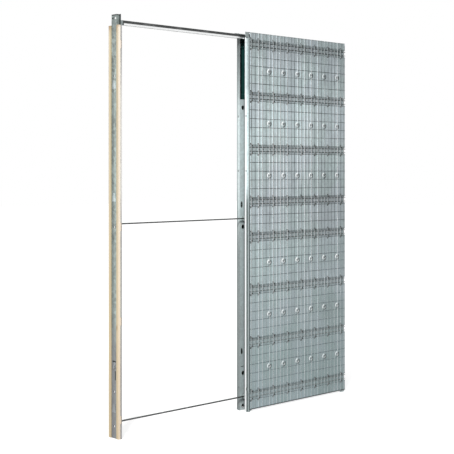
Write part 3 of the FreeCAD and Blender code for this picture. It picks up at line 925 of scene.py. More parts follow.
@dataclass(frozen=True)
class Softwood(Finish):
    """Sawn pale softwood: grain up the batten, a few knots, a browned top end, painted light on the front
    face and painted shade beside the steel web.
    """

    grain: Colour
    seat_shade: float
    lift: float
    top: float
    seat: float
    knot: Colour = (0.24, 0.13, 0.06)
    front_light: Colour = (0.88, 0.775, 0.675)
    seat_shade_tone: Colour = (0.20, 0.17, 0.08)
    amber: Colour = (0.68, 0.51, 0.29)
    rough: float = 0.62
    ring_share: float = 0.55
    streak_share: float = 0.7
    browned_share: float = 0.75
    browned_wander: float = 120 * MM
    front_light_share: float = 0.8
    amber_share: float = 0.35
    knot_from: float = 0.62
    knot_span: Span = (0.02, 0.085)
    knot_share: float = 0.85
    ring_turns: Scale = (150.0, 230.0, 0.8)
    ring_drift: float = 9.0
    drift_scale: Scale = (9.0, 9.0, 2.2)
    fibre_scale: Scale = (520.0, 520.0, 9.0)
    streak_scale: Scale = (55.0, 55.0, 1.5)
    aged_scale: Scale = (60.0, 60.0, 14.0)
    knot_scale: Scale = (9.0, 9.0, 4.2)
    browned_span: Span = (-45 * MM, 10 * MM)
    seat_span: Span = (1 * MM, 7 * MM)
    low_from: float = 200 * MM
    low_up_to: float = 0.85
    relief: float = 0.6 * MM

    def fill(self, bench: Bench) -> None:
        """Add the finish's nodes.

        Args:
            bench: the finish's node maker.
        """
        place = bench.place()
        across, through, height = bench.parts(place)
        drift = bench.noise(bench.stretched(place, self.drift_scale), 1.0, 2.0)
        fibre = bench.noise(bench.stretched(place, self.fibre_scale), 1.0, 3.0)
        streak = bench.noise(bench.stretched(place, self.streak_scale), 1.0, 3.0)
        aged = bench.noise(bench.stretched(place, self.aged_scale), 1.0, 3.0)
        turns = across * self.ring_turns[0] + through * self.ring_turns[1] + drift * self.ring_drift
        rings = ((turns + height * self.ring_turns[2]) * 2.0).maths("SINE")
        lines = (rings * 0.5 + 0.5).between(0.35, 1.0)
        grained = lines * self.ring_share + (streak - 0.5) * self.streak_share
        colour = bench.blend(grained, self.tone, self.grain)
        colour = bench.blend(self.knots(bench, place), colour, self.knot)
        start, end = self.browned_span
        browned = height + (aged - 0.5) * self.browned_wander
        browned = browned.between(self.top + start, self.top + end)
        colour = bench.blend(browned * self.browned_share, colour, self.knot)
        # Painted light: the front face is lighter, as lit from the front.
        lit_front = (bench.parts(bench.facing())[Axis.Y.value] < -FACING) * (through < 0.0)
        colour = bench.blend(lit_front * (1.0 - browned) * self.front_light_share, colour, self.front_light)
        # Painted shade along the edge beside the steel web.
        near_seat = close_to(through, self.seat, self.seat_span)
        colour = bench.blend(near_seat * self.seat_shade, colour, self.seat_shade_tone)
        low = low_down(height, (self.low_from, self.top * self.low_up_to), 1.0)
        colour = bench.blend(low * self.amber_share, colour, self.amber)
        colour = bench.shade(colour, 0.84 + fibre * 0.24 + low * self.lift)
        bump = bench.bump(fibre * 0.6 + lines * 0.4, self.relief, 0.4)
        bench.surface(colour, self.rough + (fibre - 0.5) * 0.2, 0.0, bump)

    def knots(self, bench: Bench, place: Signal) -> Signal:
        """A mask of knots, drawn out along the grain.

        Args:
            bench: the finish's node maker.
            place: the piece's own coordinates.

        Returns:
            The knots' strength.
        """
        drawn_out = bench.stretched(place, self.knot_scale)
        cells = bench.node("ShaderNodeTexVoronoi", None, {"Vector": drawn_out, "Scale": 1.0})
        chosen = bench.parts(bench.out(cells, "Color"))[0] > self.knot_from
        near = bench.out(cells, "Distance")
        return chosen * (1.0 - near.between(*self.knot_span)) * self.knot_share


@dataclass(frozen=True)
class Paper(Finish):
    """The pale studio floor: white to the eye and in gloss, with a soft shadow close to the object."""

    tone: Colour = (0.5, 0.5, 0.5)
    near: Colour = (0.80, 0.80, 0.80)
    reach: Span = (0.7, 2.6)

    def fill(self, bench: Bench) -> None:
        """Add the finish's nodes.

        Args:
            bench: the finish's node maker.
        """
        matt = bench.node("ShaderNodeBsdfDiffuse", None, {"Color": (*self.tone, 1.0)})
        dark = bench.node("ShaderNodeEmission", None, {"Color": (0.0, 0.0, 0.0, 1.0)})
        away = bench.node("ShaderNodeVectorMath", {"operation": "LENGTH"}, {0: bench.place()})
        glow = bench.blend(bench.out(away, "Value").between(*self.reach), self.near, (1.0, 1.0, 1.0))
        white = bench.node("ShaderNodeEmission", None, {"Color": glow})
        ends = {0: seen_by_eye(bench), 1: dark.outputs[0], 2: white.outputs[0]}
        shown = bench.node("ShaderNodeMixShader", None, ends)
        both = bench.node("ShaderNodeAddShader", None, {0: matt.outputs[0], 1: shown.outputs[0]})
        bench.node("ShaderNodeOutputMaterial", None, {"Surface": both.outputs[0]})


def seen_by_eye(bench: Bench) -> Signal:
    """Tell what the camera sees from what only lights the scene.

    Args:
        bench: the node maker.

    Returns:
        One for what is seen straight on, in gloss or through glass, or else zero.
    """
    path = bench.node("ShaderNodeLightPath")
    straight = bench.out(path, "Is Camera Ray")
    gloss = bench.out(path, "Is Glossy Ray")
    glass = bench.out(path, "Is Transmission Ray")
    return straight.maths("MAXIMUM", gloss).maths("MAXIMUM", glass)


class Shop:
    """Hand modelling with Blender's own operators."""

    weld = 0.01 * MM
    on_line = 0.05 * MM
    near_end = 0.2
    end_break = 0.3
    head_flats = 12
    rim_rise = 0.4
    shoulder_in = 0.22
    shoulder_rise = 0.42
    crown_in = 0.25
    crown_rise = 0.18
    least_flat = 0.05
    drive_slope = 0.1
    drive_depth = 0.6

    @staticmethod
    def clear() -> None:
        """Leave edit mode and select nothing."""
        if bpy.context.mode != "OBJECT":
            bpy.ops.object.mode_set(mode="OBJECT")
        bpy.ops.object.select_all(action="DESELECT")

    @staticmethod
    def edit() -> None:
        """Open the active piece in edit mode, with all of it selected."""
        bpy.ops.object.mode_set(mode="EDIT")
        bpy.ops.mesh.select_all(action="SELECT")

    @staticmethod
    def plate(size: Span, middle: Sequence[float], turn: Sequence[float]) -> None:
        """Start a piece from a flat rectangle.

        Args:
            size: its two sides.
            middle: where its middle goes.
            turn: its turn about each axis, in radians.
        """
        Shop.clear()
        bpy.ops.mesh.primitive_plane_add(size=1.0, location=middle, rotation=turn)
        bpy.context.active_object.scale = (*size, 1.0)
        bpy.ops.object.transform_apply(location=True, rotation=True, scale=True)

    @staticmethod
    def block(size: Sequence[float], middle: Sequence[float]) -> None:
        """Start a piece from a box.

        Args:
            size: its three sides.
            middle: where its middle goes.
        """
        Shop.clear()
        bpy.ops.mesh.primitive_cube_add(size=1.0, location=middle)
        bpy.context.active_object.scale = size
        bpy.ops.object.transform_apply(location=True, rotation=True, scale=True)

    @staticmethod
    def pick_edges(test: Callable[[Vector], bool]) -> None:
        """Select the edges whose middle passes a test.

        Args:
            test: takes a middle in the piece's own coordinates.
        """
        bpy.ops.mesh.select_mode(type="EDGE")
        bpy.ops.mesh.select_all(action="DESELECT")
        mesh = bpy.context.edit_object.data
        for edge in bmesh.from_edit_mesh(mesh).edges:
            edge.select_set(test((edge.verts[0].co + edge.verts[1].co) / 2))
        bmesh.update_edit_mesh(mesh)

    @staticmethod
    def extrude(step: Sequence[float]) -> None:
        """Extrude the selection by a step."""
        bpy.ops.mesh.extrude_region_move(TRANSFORM_OT_translate={"value": tuple(step)})

    @staticmethod
    def close(name: str, angle: float = 40.0) -> bpy.types.Object:
        """Leave edit mode with clean outward faces, and set the piece's place in its mesh.

        Args:
            name: the piece's name.
            angle: the widest angle, in degrees, that is shaded smooth.

        Returns:
            The finished piece.
        """
        if bpy.context.mode != "OBJECT":
            bpy.ops.mesh.select_all(action="SELECT")
            bpy.ops.mesh.remove_doubles(threshold=Shop.weld)
            bpy.ops.mesh.normals_make_consistent(inside=False)
            bpy.ops.object.mode_set(mode="OBJECT")
        piece = bpy.context.active_object
        bpy.ops.object.transform_apply(location=True, rotation=True, scale=True)
        bpy.ops.object.shade_smooth_by_angle(angle=math.radians(angle))
        piece.name = name
        piece.data.name = name
        return piece

    @staticmethod
    def modify(piece: bpy.types.Object, kind: str, settings: dict[str, Any]) -> None:
        """Add a modifier, set it and apply it.

        Args:
            piece: the piece that it changes.
            kind: the modifier's type.
            settings: its properties.
        """
        Shop.clear()
        piece.select_set(True)
        bpy.context.view_layer.objects.active = piece
        modifier = piece.modifiers.new(kind.lower(), kind)
        for name, value in settings.items():
            setattr(modifier, name, value)
        bpy.ops.object.modifier_apply(modifier=modifier.name)

    @staticmethod
    def row(piece: bpy.types.Object, step: Sequence[float], count: int) -> None:
        """Repeat a piece along a straight row.

        Args:
            piece: the first piece of the row.
            step: from one to the next.
            count: how many there are.
        """
        settings = {
            "use_relative_offset": False,
            "use_constant_offset": True,
            "constant_offset_displace": tuple(step),
            "count": count,
        }
        Shop.modify(piece, "ARRAY", settings)

    @staticmethod
    def scatter(piece: bpy.types.Object, moves: Iterable[Matrix]) -> bpy.types.Object:
        """Copy a piece to each place, and join the copies as one piece.

        Args:
            piece: the piece that is modelled once.
            moves: where each copy goes, from the first one's place.

        Returns:
            The joined piece, which keeps the name.
        """
        copies = []
        for move in moves:
            copy = piece.copy()
            copy.data = piece.data.copy()
            copy.data.transform(move)
            bpy.context.scene.collection.objects.link(copy)
            copies.append(copy)
        name = piece.name
        bpy.data.objects.remove(piece)
        Shop.clear()
        for copy in copies:
            copy.select_set(True)
        bpy.context.view_layer.objects.active = copies[0]
        bpy.ops.object.join()
        joined = bpy.context.active_object
        Shop.edit()
        bpy.ops.mesh.normals_make_consistent(inside=False)
        bpy.ops.object.mode_set(mode="OBJECT")
        joined.name = name
        joined.data.name = name
        return joined

    @staticmethod
    def strip(name: str, level: float, steps: Iterable[Sequence[float]], gauge: float) -> bpy.types.Object:
        """Draw the active plate out from one of its edges, step by step, and thicken it.

        Args:
            name: the piece's name.
            level: the height of that edge.
            steps: how far each bend goes on from the last.
            gauge: the strip's thickness.

        Returns:
            The bent strip.
        """
        Shop.edit()
        Shop.pick_edges(lambda point: abs(point.z - level) < Shop.on_line)
        for step in steps:
            Shop.extrude(step)
        piece = Shop.close(name)
        Shop.modify(piece, "SOLIDIFY", {"thickness": gauge, "offset": 0.0})
        return piece

    @staticmethod
    def rod(name: str, start: Vector, along: Vector, radius: float, sides: int) -> bpy.types.Object:
        """Draw a round wire with broken end edges.

        Args:
            name: the piece's name.
            start: the middle of its first end.
            along: from the first end to the other.
            radius: half its thickness.
            sides: flats round its section.

        Returns:
            The wire.
        """
        Shop.clear()
        turn = along.to_track_quat("Z", "Y").to_euler()
        bpy.ops.mesh.primitive_circle_add(
            vertices=sides, radius=radius, fill_type="NGON", location=start, rotation=turn
        )
        bpy.ops.object.transform_apply(location=True, rotation=True, scale=True)
        Shop.edit()
        Shop.extrude(along)
        ends = (start, start + along)
        way = along.normalized()
        reach = radius * Shop.near_end
        Shop.pick_edges(lambda point: any(abs((point - end).dot(way)) < reach for end in ends))
        bpy.ops.mesh.bevel(offset=radius * Shop.end_break, segments=1, affect="EDGES")
        return Shop.close(name)

    @staticmethod
    def button(name: str, radius: float, height: float, socket: float) -> bpy.types.Object:
        """Model a screw or rivet head at the origin, looking up Z.

        Args:
            name: the piece's name.
            radius: the head's radius.
            height: how far it stands up.
            socket: the radius of its drive, or zero for a rivet.

        Returns:
            The head.
        """
        Shop.clear()
        bpy.ops.mesh.primitive_circle_add(vertices=Shop.head_flats, radius=radius, fill_type="NGON")
        Shop.edit()
        Shop.extrude((0.0, 0.0, height * Shop.rim_rise))
        bpy.ops.mesh.inset(thickness=radius * Shop.shoulder_in, depth=height * Shop.shoulder_rise)
        bpy.ops.mesh.inset(thickness=radius * Shop.crown_in, depth=height * Shop.crown_rise)
        if socket:
            flat = radius * (1 - Shop.shoulder_in - Shop.crown_in) - socket
            bpy.ops.mesh.inset(thickness=max(flat, radius * Shop.least_flat), depth=0.0)
            bpy.ops.mesh.inset(thickness=socket * Shop.drive_slope, depth=-height * Shop.drive_depth)
        return Shop.close(name)


def dress(piece: bpy.types.Object, material: bpy.types.Material) -> None:
    """Give a new piece its finish and its body.

    Args:
        piece: the new piece.
        material: its finish.
    """
    piece.data.materials.clear()
    piece.data.materials.append(material)
    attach(piece, BODY)
    LOG.info("%s: %d faces", piece.name, len(piece.data.polygons))


def paint(node: bpy.types.Object, material: bpy.types.Material) -> None:
    """Give a carried-over solid a new finish."""
    for place in node.material_slots:
        place.material = material
    LOG.info("%s: finish %s", node.name, material.name)


@dataclass(frozen=True)
class Finishes:
    """The materials that the sub-assemblies share."""

    sheet: bpy.types.Material
    profile: bpy.types.Material
    jamb: bpy.types.Material
    head: bpy.types.Material
    post: bpy.types.Material
    stirrup: bpy.types.Material
    dark: bpy.types.Material
    bar: bpy.types.Material
    rod: bpy.types.Material
    track: bpy.types.Material
    bright: bpy.types.Material
    gap: bpy.types.Material

    @classmethod
    def mixed(cls) -> "Finishes":
        """Mix every shared finish.

        Returns:
            The set of materials.
        """
        # Painted shade: dark colours for the faces that look into the pocket.
        pocket = (0.014, 0.070, 0.062)
        jamb_pocket_shade = (0.002, 0.005, 0.005)
        steel = (0.055, 0.058, 0.058)
        rubbed_steel = (0.16, 0.165, 0.165)
        stirrup_face = 9 * MM
        bar_plate = 4 * MM
        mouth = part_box("front_mesh_level_wires")[0].x
        bar_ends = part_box("middle_spacer_bar")
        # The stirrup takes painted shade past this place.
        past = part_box("track_bracket")[1].x - stirrup_face
        ends = (bar_ends[0].x + bar_plate, bar_ends[1].x - bar_plate)
        made = dict(
            sheet=SheetZinc(
                "zinc_sheet", (0.42, 0.47, 0.475), contrast=0.2, streaks=0.12, stains=0.1, rough=0.4,
                metal=0.2, inside=pocket, mouth=mouth,
            ),
            profile=Zinc("zinc_profile", (0.52, 0.56, 0.56), contrast=0.2, stains=0.12, metal=0.3),
            jamb=JambZinc(
                "zinc_jamb", (0.50, 0.54, 0.54), contrast=0.15, stains=0.1, metal=0.2, inside=jamb_pocket_shade,
                reach=30 * MM, mouth=mouth,
            ),
            head=Zinc("zinc_head", (0.30, 0.33, 0.325), contrast=0.5, stains=0.3, metal=0.3),
            post=PostZinc(
                "zinc_post", (0.26, 0.29, 0.275), spangle=0.016, contrast=0.55, stains=0.5, rough=0.5,
                metal=0.3,
            ),
            stirrup=PostZinc(
                "zinc_stirrup", (0.42, 0.46, 0.46), contrast=0.3, metal=0.3, past=past, flanks=1.0
            ),
            dark=DarkSteel("dark_steel", steel, rubbed_steel),
            bar=DarkSteel("bar_steel", steel, rubbed_steel, ends=ends),
            rod=DarkSteel(
                "dark_rod", (0.035, 0.042, 0.042), (0.09, 0.1, 0.1), rough=0.55, metal=0.3, pale=0.6
            ),
            track=Aluminium("track_aluminium", (0.86, 0.87, 0.87)),
            bright=Zinc("bright_zinc", (0.72, 0.75, 0.75), spangle=0.003, stains=0.1, rough=0.3),
            # Painted shade: the dark finish of plates and rings that stand for shade in openings and beside
            # the tongue.
            gap=DarkSteel("painted_shade_plate", (0.012, 0.016, 0.015), (0.03, 0.035, 0.034), rough=0.7, metal=0.0),
        )
        return cls(**{name: finish.material() for name, finish in made.items()})


@dataclass
class PlasterMesh:
    """The welded mesh on one side: level wires on the sheet, upright wires over them, and the band rods."""

    side: Side
    finishes: Finishes
    level_pitch: float = 50 * MM
    upright_pitch: float = 30 * MM
    rod_offset: float = 11 * MM
    flats: int = 8

    # Painted shade: the level wires take a darker tone than the upright ones, and both get painted glints.
    level_looks = {"tone": (0.06, 0.07, 0.07), "bright": (0.20, 0.22, 0.22), "dusty": (0.26, 0.30, 0.31)}
    upright_looks = {
        "tone": (0.22, 0.24, 0.24),
        "bright": (0.97, 0.98, 0.99),
        "share": 0.62,
        "band_glint": 0.55,
    }

    def build(self) -> None:
        """Draw the wires and rods in the room of their solids."""
        self.wires("level", Axis.X, Axis.Z, self.level_pitch, self.level_looks)
        self.wires("upright", Axis.Z, Axis.X, self.upright_pitch, self.upright_looks)
        self.rods()

    def first(self, node: str, name: str, way: Axis) -> tuple[bpy.types.Object, Vector]:
        """Draw the first round wire or rod of a row, in the room of its solid.

        Args:
            node: the solid.
            name: the piece's name.
            way: the axis that it runs along.

        Returns:
            The wire, and the middle of its first end.
        """
        low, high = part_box(node)
        radius = (high.y - low.y) / 2
        start = Vector((low.x + radius, (low.y + high.y) / 2, low.z + radius))
        start[way.value] = low[way.value]
        along = Vector()
        along[way.value] = high[way.value] - low[way.value]
        return Shop.rod(name, start, along, radius, self.flats), start

    def wires(self, word: str, way: Axis, over: Axis, pitch: float, looks: dict[str, Any]) -> None:
        """Draw one layer of the mesh.

        Args:
            word: the layer's word in the names.
            way: the axis that the wires run along.
            over: the axis that they are set out along.
            pitch: from one wire to the next.
            looks: what sets the layer's finish apart.
        """
        node = f"{self.side.word}_mesh_{word}_wires"
        wire, start = self.first(node, f"{self.side.word}_{word}_wires", way)
        low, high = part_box(node)
        room = high[over.value] - low[over.value] - (high.y - low.y)
        step = Vector()
        step[over.value] = pitch
        Shop.row(wire, step, 1 + round(room / pitch))
        finish = WireZinc(f"{wire.name}_zinc", across=over, pitch=pitch, first=start[over.value], **looks)
        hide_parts(node)
        dress(wire, finish.material())

    def rods(self) -> None:
        """Lay a pair of round rods in each band."""
        node = f"{self.side.word}_band_rods"
        rod, _ = self.first(node, f"{self.side.word}_round_rods", Axis.X)
        lowest = BAND_HEIGHTS[0] - self.rod_offset
        moves = []
        for band in BAND_HEIGHTS:
            for way in (-1, 1):
                moves.append(Matrix.Translation((0.0, 0.0, band + way * self.rod_offset - lowest)))
        rod = Shop.scatter(rod, moves)
        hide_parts(node)
        dress(rod, self.finishes.rod)


@dataclass
class SideTabs:
    """Lanced tabs that hook the mesh to one side sheet, beside the windows that they are cut from, which
    are shown as dark plates of painted shade.
    """

    side: Side
    finishes: Finishes
    width: float = 4 * MM
    gauge: float = 0.8 * MM
    root: float = 3.2 * MM
    root_out: float = 0.5 * MM
    root_drop: float = 5.2 * MM
    window: Span = (25 * MM, 9 * MM)
    window_corner: float = 2.5 * MM
    window_rise: float = 2 * MM
    window_tilt: float = 38.0
    window_lift: float = 0.25 * MM
    wire_offset: float = 25 * MM

    columns = tuple(MM * along for along in (22, 82, 204, 324, 444, 564, 684, 804))
    # Each bend's run in millimetres, out from the sheet and up.
    bends = ((1.6, 0.9), (1.5, 1.6), (0.2, 2.4), (-1.2, 1.6), (-1.3, 0.7))

    def build(self) -> None:
        """Cut and bend the tabs."""
        self.windows()
        self.tabs()

    def places(self) -> list[Matrix]:
        """Where each tab goes: above and below each band, at each column, turned over below.

        Returns:
            The move to each place on the sheet's outer face, where the level wires lie.
        """
        low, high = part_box(f"{self.side.word}_mesh_level_wires")
        face = high.y if self.side is Side.FRONT else low.y
        moves = []
        for band in BAND_HEIGHTS:
            for along in self.columns:
                for way in (1, -1):
                    spot = Vector((low.x + along, face, band + way * self.wire_offset))
                    flip = Matrix.Diagonal((1.0, self.side.value, way, 1.0))
                    moves.append(Matrix.Translation(spot) @ flip)
        return moves

    def windows(self) -> None:
        """Make the windows as dark thin plates with cut corners on the sheet, painted shade for the
        openings.
        """
        turn = (math.pi / 2, math.radians(self.window_tilt), 0.0)
        Shop.plate(self.window, (0.0, 0.0, self.window_rise), turn)
        Shop.edit()
        bpy.ops.mesh.bevel(offset=self.window_corner, segments=2, affect="VERTICES")
        Shop.extrude((0.0, self.window_lift, 0.0))
        piece = Shop.close(f"{self.side.word}_tab_windows")
        piece = Shop.scatter(piece, self.places())
        dress(piece, self.finishes.gap)

    def tabs(self) -> None:
        """Bend one tab over a level wire, thicken it and copy it to every place."""
        Shop.plate((self.width, self.root), (0.0, self.root_out, -self.root_drop), (math.pi / 2, 0.0, 0.0))
        tip = self.root / 2 - self.root_drop
        steps = [(0.0, out * MM, up * MM) for out, up in self.bends]
        piece = Shop.strip(f"{self.side.word}_hook_tabs", tip, steps, self.gauge)
        piece = Shop.scatter(piece, self.places())
        # The tabs take the darker post zinc as painted shade.
        dress(piece, self.finishes.post)


@dataclass
class StrikeTimber:
    """One sawn batten in the strike post, with eased edges."""

    side: Side
    ease: float = 1.2 * MM
    smooth_up_to: float = 30.0

    looks = {
        Side.FRONT: {"tone": (0.53, 0.46, 0.335), "grain": (0.45, 0.355, 0.225), "seat_shade": 0.25, "lift": 0.2},
        Side.BACK: {"tone": (0.60, 0.52, 0.37), "grain": (0.50, 0.40, 0.25), "seat_shade": 0.6, "lift": 0.08},
    }

    def build(self) -> None:
        """Saw the batten to the box of its solid and ease its edges."""
        node = f"{self.side.word}_batten"
        low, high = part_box(node)
        Shop.block(high - low, (low + high) / 2)
        Shop.edit()
        bpy.ops.mesh.bevel(offset=self.ease, segments=2, affect="EDGES")
        piece = Shop.close(f"{self.side.word}_timber", self.smooth_up_to)
        seat = high.y if self.side is Side.FRONT else low.y
        finish = Softwood(f"{piece.name}_softwood", top=high.z, seat=seat, **self.looks[self.side])
        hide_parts(node)
        dress(piece, finish.material())


@dataclass
class WallTongue:
    """A tongue lanced out of the strike post's web to key into the wall, with dark plates of painted shade
    for its opening and its shadow.
    """

    finishes: Finishes
    top: float = 390 * MM
    width: float = 16 * MM
    gauge: float = 0.8 * MM
    root: float = 5 * MM
    across: float = 2 * MM
    skin: float = 0.25 * MM
    opening: Span = (26 * MM, 8 * MM)
    shadow_strip: Span = (7 * MM, 46 * MM)
    shadow_strip_place: Span = (-10 * MM, 322 * MM)

    # Each bend's run in millimetres, out from the web and down.
    bends = ((0.9, 9.0), (1.1, 9.0), (0.4, 8.0), (-0.8, 5.0))

    def build(self) -> None:
        """Lay dark plates of painted shade for the opening and the tongue's shadow, and bend the tongue."""
        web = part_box("wall_anchors")[1].x
        openings = {
            "tongue_opening": (self.opening, (0.0, self.top + self.opening[1] / 2)),
            "tongue_shadow_strip": (self.shadow_strip, self.shadow_strip_place),
        }
        # Dark plates of painted shade for the opening and the tongue's shadow.
        for name, (size, middle) in openings.items():
            Shop.block((self.skin, *size), (web - self.skin / 2, *middle))
            dress(Shop.close(name), self.finishes.gap)
        self.bend(web)

    def bend(self, web: float) -> None:
        """Bend the tongue out of the web, down from the opening.

        Args:
            web: the X of the web's outer face.
        """
        middle = (web - self.gauge / 2, self.across, self.top - self.root / 2)
        Shop.plate((self.root, self.width), middle, (0.0, math.pi / 2, 0.0))
        steps = [(-out * MM, 0.0, -down * MM) for out, down in self.bends]
        piece = Shop.strip("wall_tongue", self.top - self.root, steps, self.gauge)
        dress(piece, self.finishes.stirrup)


@dataclass
class Fasteners:
    """Screws, rivets, hole rims and dark rings of painted shade on the steel."""

    finishes: Finishes
    screw_radius: float = 4.5 * MM
    screw_height: float = 2.6 * MM
    drive_share: float = 0.4
    plate_inset: float = 3 * MM
    plate_across: float = -11 * MM
    plate_drop: float = 5 * MM
    rivet_radius: float = 4.0 * MM
    rivet_height: float = 1.6 * MM
    rivet_drop: float = 8 * MM
    rivet_inset: float = 6 * MM
    shade_ring_tube: float = 1.1 * MM
    rim_tube: float = 1.0 * MM
    hole_radius: float = 9.5 * MM
    hole_inset: float = 17 * MM
    slot_radius: float = 4 * MM
    slot_inset: float = 6.5 * MM
    slot_stretch: float = 2.4
    slot_tube: float = 1.8 * MM
    eye_radius: float = 4 * MM
    eye_across: float = 31 * MM
    ring_flats: int = 24
    tube_flats: int = 6
    flattened: float = 0.6
    smooth_up_to: float = 80.0

    wing_screws = tuple(MM * height for height in (168, 668, 1168, 1668, 2068))
    hole_heights = tuple(MM * height for height in (24, 212, 1050, 1732))
    slot_heights = tuple(MM * height for height in (338, 1177))
    eye_heights = tuple(MM * height for height in (1369, 1681))

    def build(self) -> None:
        """Model one of each and copy it to its places."""
        self.screws()
        self.rivets()
        self.shade_rings()

    @staticmethod
    def look(spot: Sequence[float], outward: Sequence[float]) -> Matrix:
        """The move that takes a head from the origin to a spot, looking outward."""
        turn = Vector(outward).to_track_quat("Z", "Y").to_matrix().to_4x4()
        return Matrix.Translation(spot) @ turn

    def screws(self) -> None:
        """Drive screws through the post's wings into the timber, and through the bars' end plates."""
        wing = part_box("strike_post")[1].x
        moves = []
        for side in Side:
            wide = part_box(f"{side.word}_batten")
            across = (wide[0].y + wide[1].y) / 2
            for height in self.wing_screws:
                moves.append(self.look((wing, across, height), (1, 0, 0)))
        for bar in ("middle_spacer_bar", "low_spacer_bar"):
            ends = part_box(bar)
            height = (ends[0].z + ends[1].z) / 2 - self.plate_drop
            for end, way in ((ends[1].x, -1), (ends[0].x, 1)):
                spot = (end + way * self.plate_inset, self.plate_across, height)
                moves.append(self.look(spot, (way, 0, 0)))
        drive = self.screw_radius * self.drive_share
        screw = Shop.button("frame_screws", self.screw_radius, self.screw_height, drive)
        dress(Shop.scatter(screw, moves), self.finishes.bright)

    def rivets(self) -> None:
        """Set a rivet at each top corner of the two side sheets."""
        moves = []
        for side in Side:
            low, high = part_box(f"{side.word}_mesh_level_wires")
            face = high.y if side is Side.FRONT else low.y
            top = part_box(f"{side.word}_side_sheet")[1].z - self.rivet_drop
            for along in (low.x + self.rivet_inset, high.x - self.rivet_inset):
                moves.append(self.look((along, face, top), (0, side.value, 0)))
        rivet = Shop.button("head_rivets", self.rivet_radius, self.rivet_height, 0.0)
        dress(Shop.scatter(rivet, moves), self.finishes.bright)

    def shade_rings(self) -> None:
        """Raise dark rings of painted shade round the mouth jambs' openings, and bright rims round the
        round ones.
        """
        holes = self.on_jambs(self.hole_inset, self.hole_heights)
        slots = self.on_jambs(self.slot_inset, self.slot_heights)
        eyes = []
        for side in Side:
            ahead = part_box(f"{side.word}_mouth_jamb")[0].x
            for height in self.eye_heights:
                eyes.append(self.look((ahead, side.value * self.eye_across, height), (-1, 0, 0)))
        # Dark rings of painted shade round the holes, slots and eyes.
        shade_ring = self.ring("jamb_hole_shade_rings", self.hole_radius + self.shade_ring_tube, self.shade_ring_tube)
        dress(Shop.scatter(shade_ring, holes), self.finishes.gap)
        rim_radius = self.hole_radius + 2 * self.shade_ring_tube + self.rim_tube
        rim = self.ring("jamb_hole_rims", rim_radius, self.rim_tube)
        dress(Shop.scatter(rim, holes), self.finishes.bright)
        slot_radius = self.slot_radius + self.slot_tube
        shade_ring = self.ring("jamb_slot_shade_rings", slot_radius, self.slot_tube, self.slot_stretch)
        dress(Shop.scatter(shade_ring, slots), self.finishes.gap)
        shade_ring = self.ring("jamb_eye_shade_rings", self.eye_radius, self.shade_ring_tube)
        dress(Shop.scatter(shade_ring, eyes), self.finishes.gap)

    def on_jambs(self, inset: float, heights: Iterable[float]) -> list[Matrix]:
        """Places on the inner faces of both mouth jambs.

        Args:
            inset: from the mouth edge along the wall.
            heights: above the floor.

        Returns:
            The move to each place, looking into the slot.
        """
        moves = []
        for side in Side:
            low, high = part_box(f"{side.word}_mouth_jamb")
            face = low.y if side is Side.BACK else high.y
            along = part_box(f"{side.word}_mesh_level_wires")[0].x + inset
            for height in heights:
                moves.append(self.look((along, face, height), (0, -side.value, 0)))
        return moves

    def ring(self, name: str, radius: float, tube: float, stretch: float = 1.0) -> bpy.types.Object:
        """Model a flattened ring at the origin, looking up Z.

        Args:
            name: the piece's name.
            radius: the radius of its middle line.
            tube: half its width.
            stretch: how much longer than wide it is.

        Returns:
            The ring.
        """
        Shop.clear()
        bpy.ops.mesh.primitive_torus_add(
            major_segments=self.ring_flats,
            minor_segments=self.tube_flats,
            major_radius=radius,
            minor_radius=tube,
        )
        Shop.edit()
        bpy.ops.transform.resize(value=(1.0, stretch, self.flattened), center_override=(0.0, 0.0, 0.0))
        return Shop.close(name, self.smooth_up_to)


@dataclass
class SteelWork:
    """The solids that are shown as they are, with their finishes."""

    nodes: dict[str, bpy.types.Object]
    finishes: Finishes

    def build(self) -> None:
        """Paint every solid that stays in view."""
        groups = {
            self.finishes.sheet: ("front_side_sheet", "back_side_sheet"),
            self.finishes.jamb: ("front_mouth_jamb", "back_mouth_jamb"),
            self.finishes.profile: ("rear_channel", "front_base_angle", "back_base_angle"),
            self.finishes.head: ("head_channel",),
            self.finishes.stirrup: ("track_bracket", "wall_anchors"),
            self.finishes.post: ("strike_post",),
            self.finishes.dark: ("track_cap", "track_hangers"),
            self.finishes.bar: ("middle_spacer_bar", "low_spacer_bar"),
            self.finishes.track: ("running_track",),
        }
        for material, names in groups.items():
            for name in names:
                paint(self.nodes[name], material)


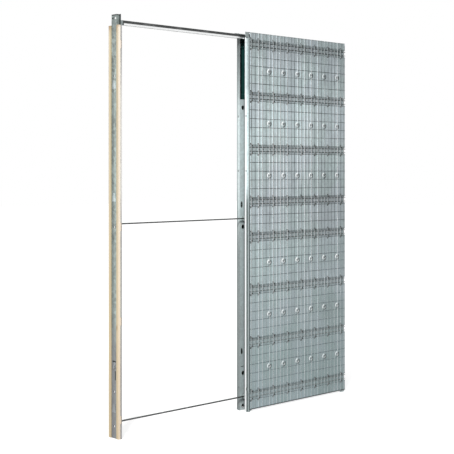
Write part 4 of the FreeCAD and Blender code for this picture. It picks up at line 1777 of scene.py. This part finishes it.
@dataclass(frozen=True)
class Studio:
    """The floor, the light and the camera at the photograph's viewing angle."""

    eye: Point = (-4.3681, -4.4772, 1.3785)
    heading: float = -43.73
    lens: float = 87.31
    shift: float = -0.127
    floor: float = 60.0
    dome: float = 0.26
    key_place: Point = (-5.8, -4.05, 4.9)
    key_target: Point = (0.0, 0.0, 1.2)
    key_size: float = 1.4
    key_power: float = 700.0

    def build(self) -> None:
        """Set up the stage."""
        self.camera()
        self.sky()
        self.key()
        self.ground()

    def camera(self) -> None:
        """Place the camera, level, with the photograph's framing."""
        data = bpy.data.cameras.new("photo_view")
        data.lens = self.lens
        data.shift_y = self.shift
        view = bpy.data.objects.new("photo_view", data)
        view.location = self.eye
        view.rotation_euler = (math.pi / 2, 0.0, math.radians(self.heading))
        bpy.context.scene.collection.objects.link(view)
        bpy.context.scene.camera = view

    def sky(self) -> None:
        """Light the room softly from all round, and show it white."""
        world = bpy.data.worlds.new("studio")
        world.use_nodes = True
        bpy.context.scene.world = world
        bench = Bench(world.node_tree)
        soft = bench.node("ShaderNodeBackground", None, {"Color": (1, 1, 1, 1), "Strength": self.dome})
        white = bench.node("ShaderNodeBackground", None, {"Color": (1, 1, 1, 1), "Strength": 1.0})
        ends = {0: seen_by_eye(bench), 1: soft.outputs[0], 2: white.outputs[0]}
        both = bench.node("ShaderNodeMixShader", None, ends)
        bench.node("ShaderNodeOutputWorld", None, {"Surface": both.outputs[0]})

    def key(self) -> None:
        """Hang one soft lamp to the upper left of the front."""
        data = bpy.data.lights.new("key_lamp", "AREA")
        data.size = self.key_size
        data.energy = self.key_power
        lamp = bpy.data.objects.new("key_lamp", data)
        lamp.location = self.key_place
        lamp.visible_camera = False
        aim = Vector(self.key_target) - Vector(self.key_place)
        lamp.rotation_euler = aim.to_track_quat("-Z", "Y").to_euler()
        bpy.context.scene.collection.objects.link(lamp)

    def ground(self) -> None:
        """Lay the pale floor."""
        Shop.clear()
        bpy.ops.mesh.primitive_plane_add(size=self.floor)
        floor = bpy.context.active_object
        floor.name = "studio_floor"
        floor.data.materials.append(Paper("studio_paper").material())


def main() -> None:
    """Build every sub-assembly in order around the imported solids."""
    logging.basicConfig(level=logging.INFO, format="%(name)s %(message)s")
    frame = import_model()
    bpy.context.scene.view_settings.view_transform = "Standard"
    finishes = Finishes.mixed()
    SteelWork(frame["nodes"], finishes).build()
    for side in Side:
        PlasterMesh(side, finishes).build()
        SideTabs(side, finishes).build()
        StrikeTimber(side).build()
    WallTongue(finishes).build()
    Fasteners(finishes).build()
    Studio().build()


if __name__ == "__main__":
    main()
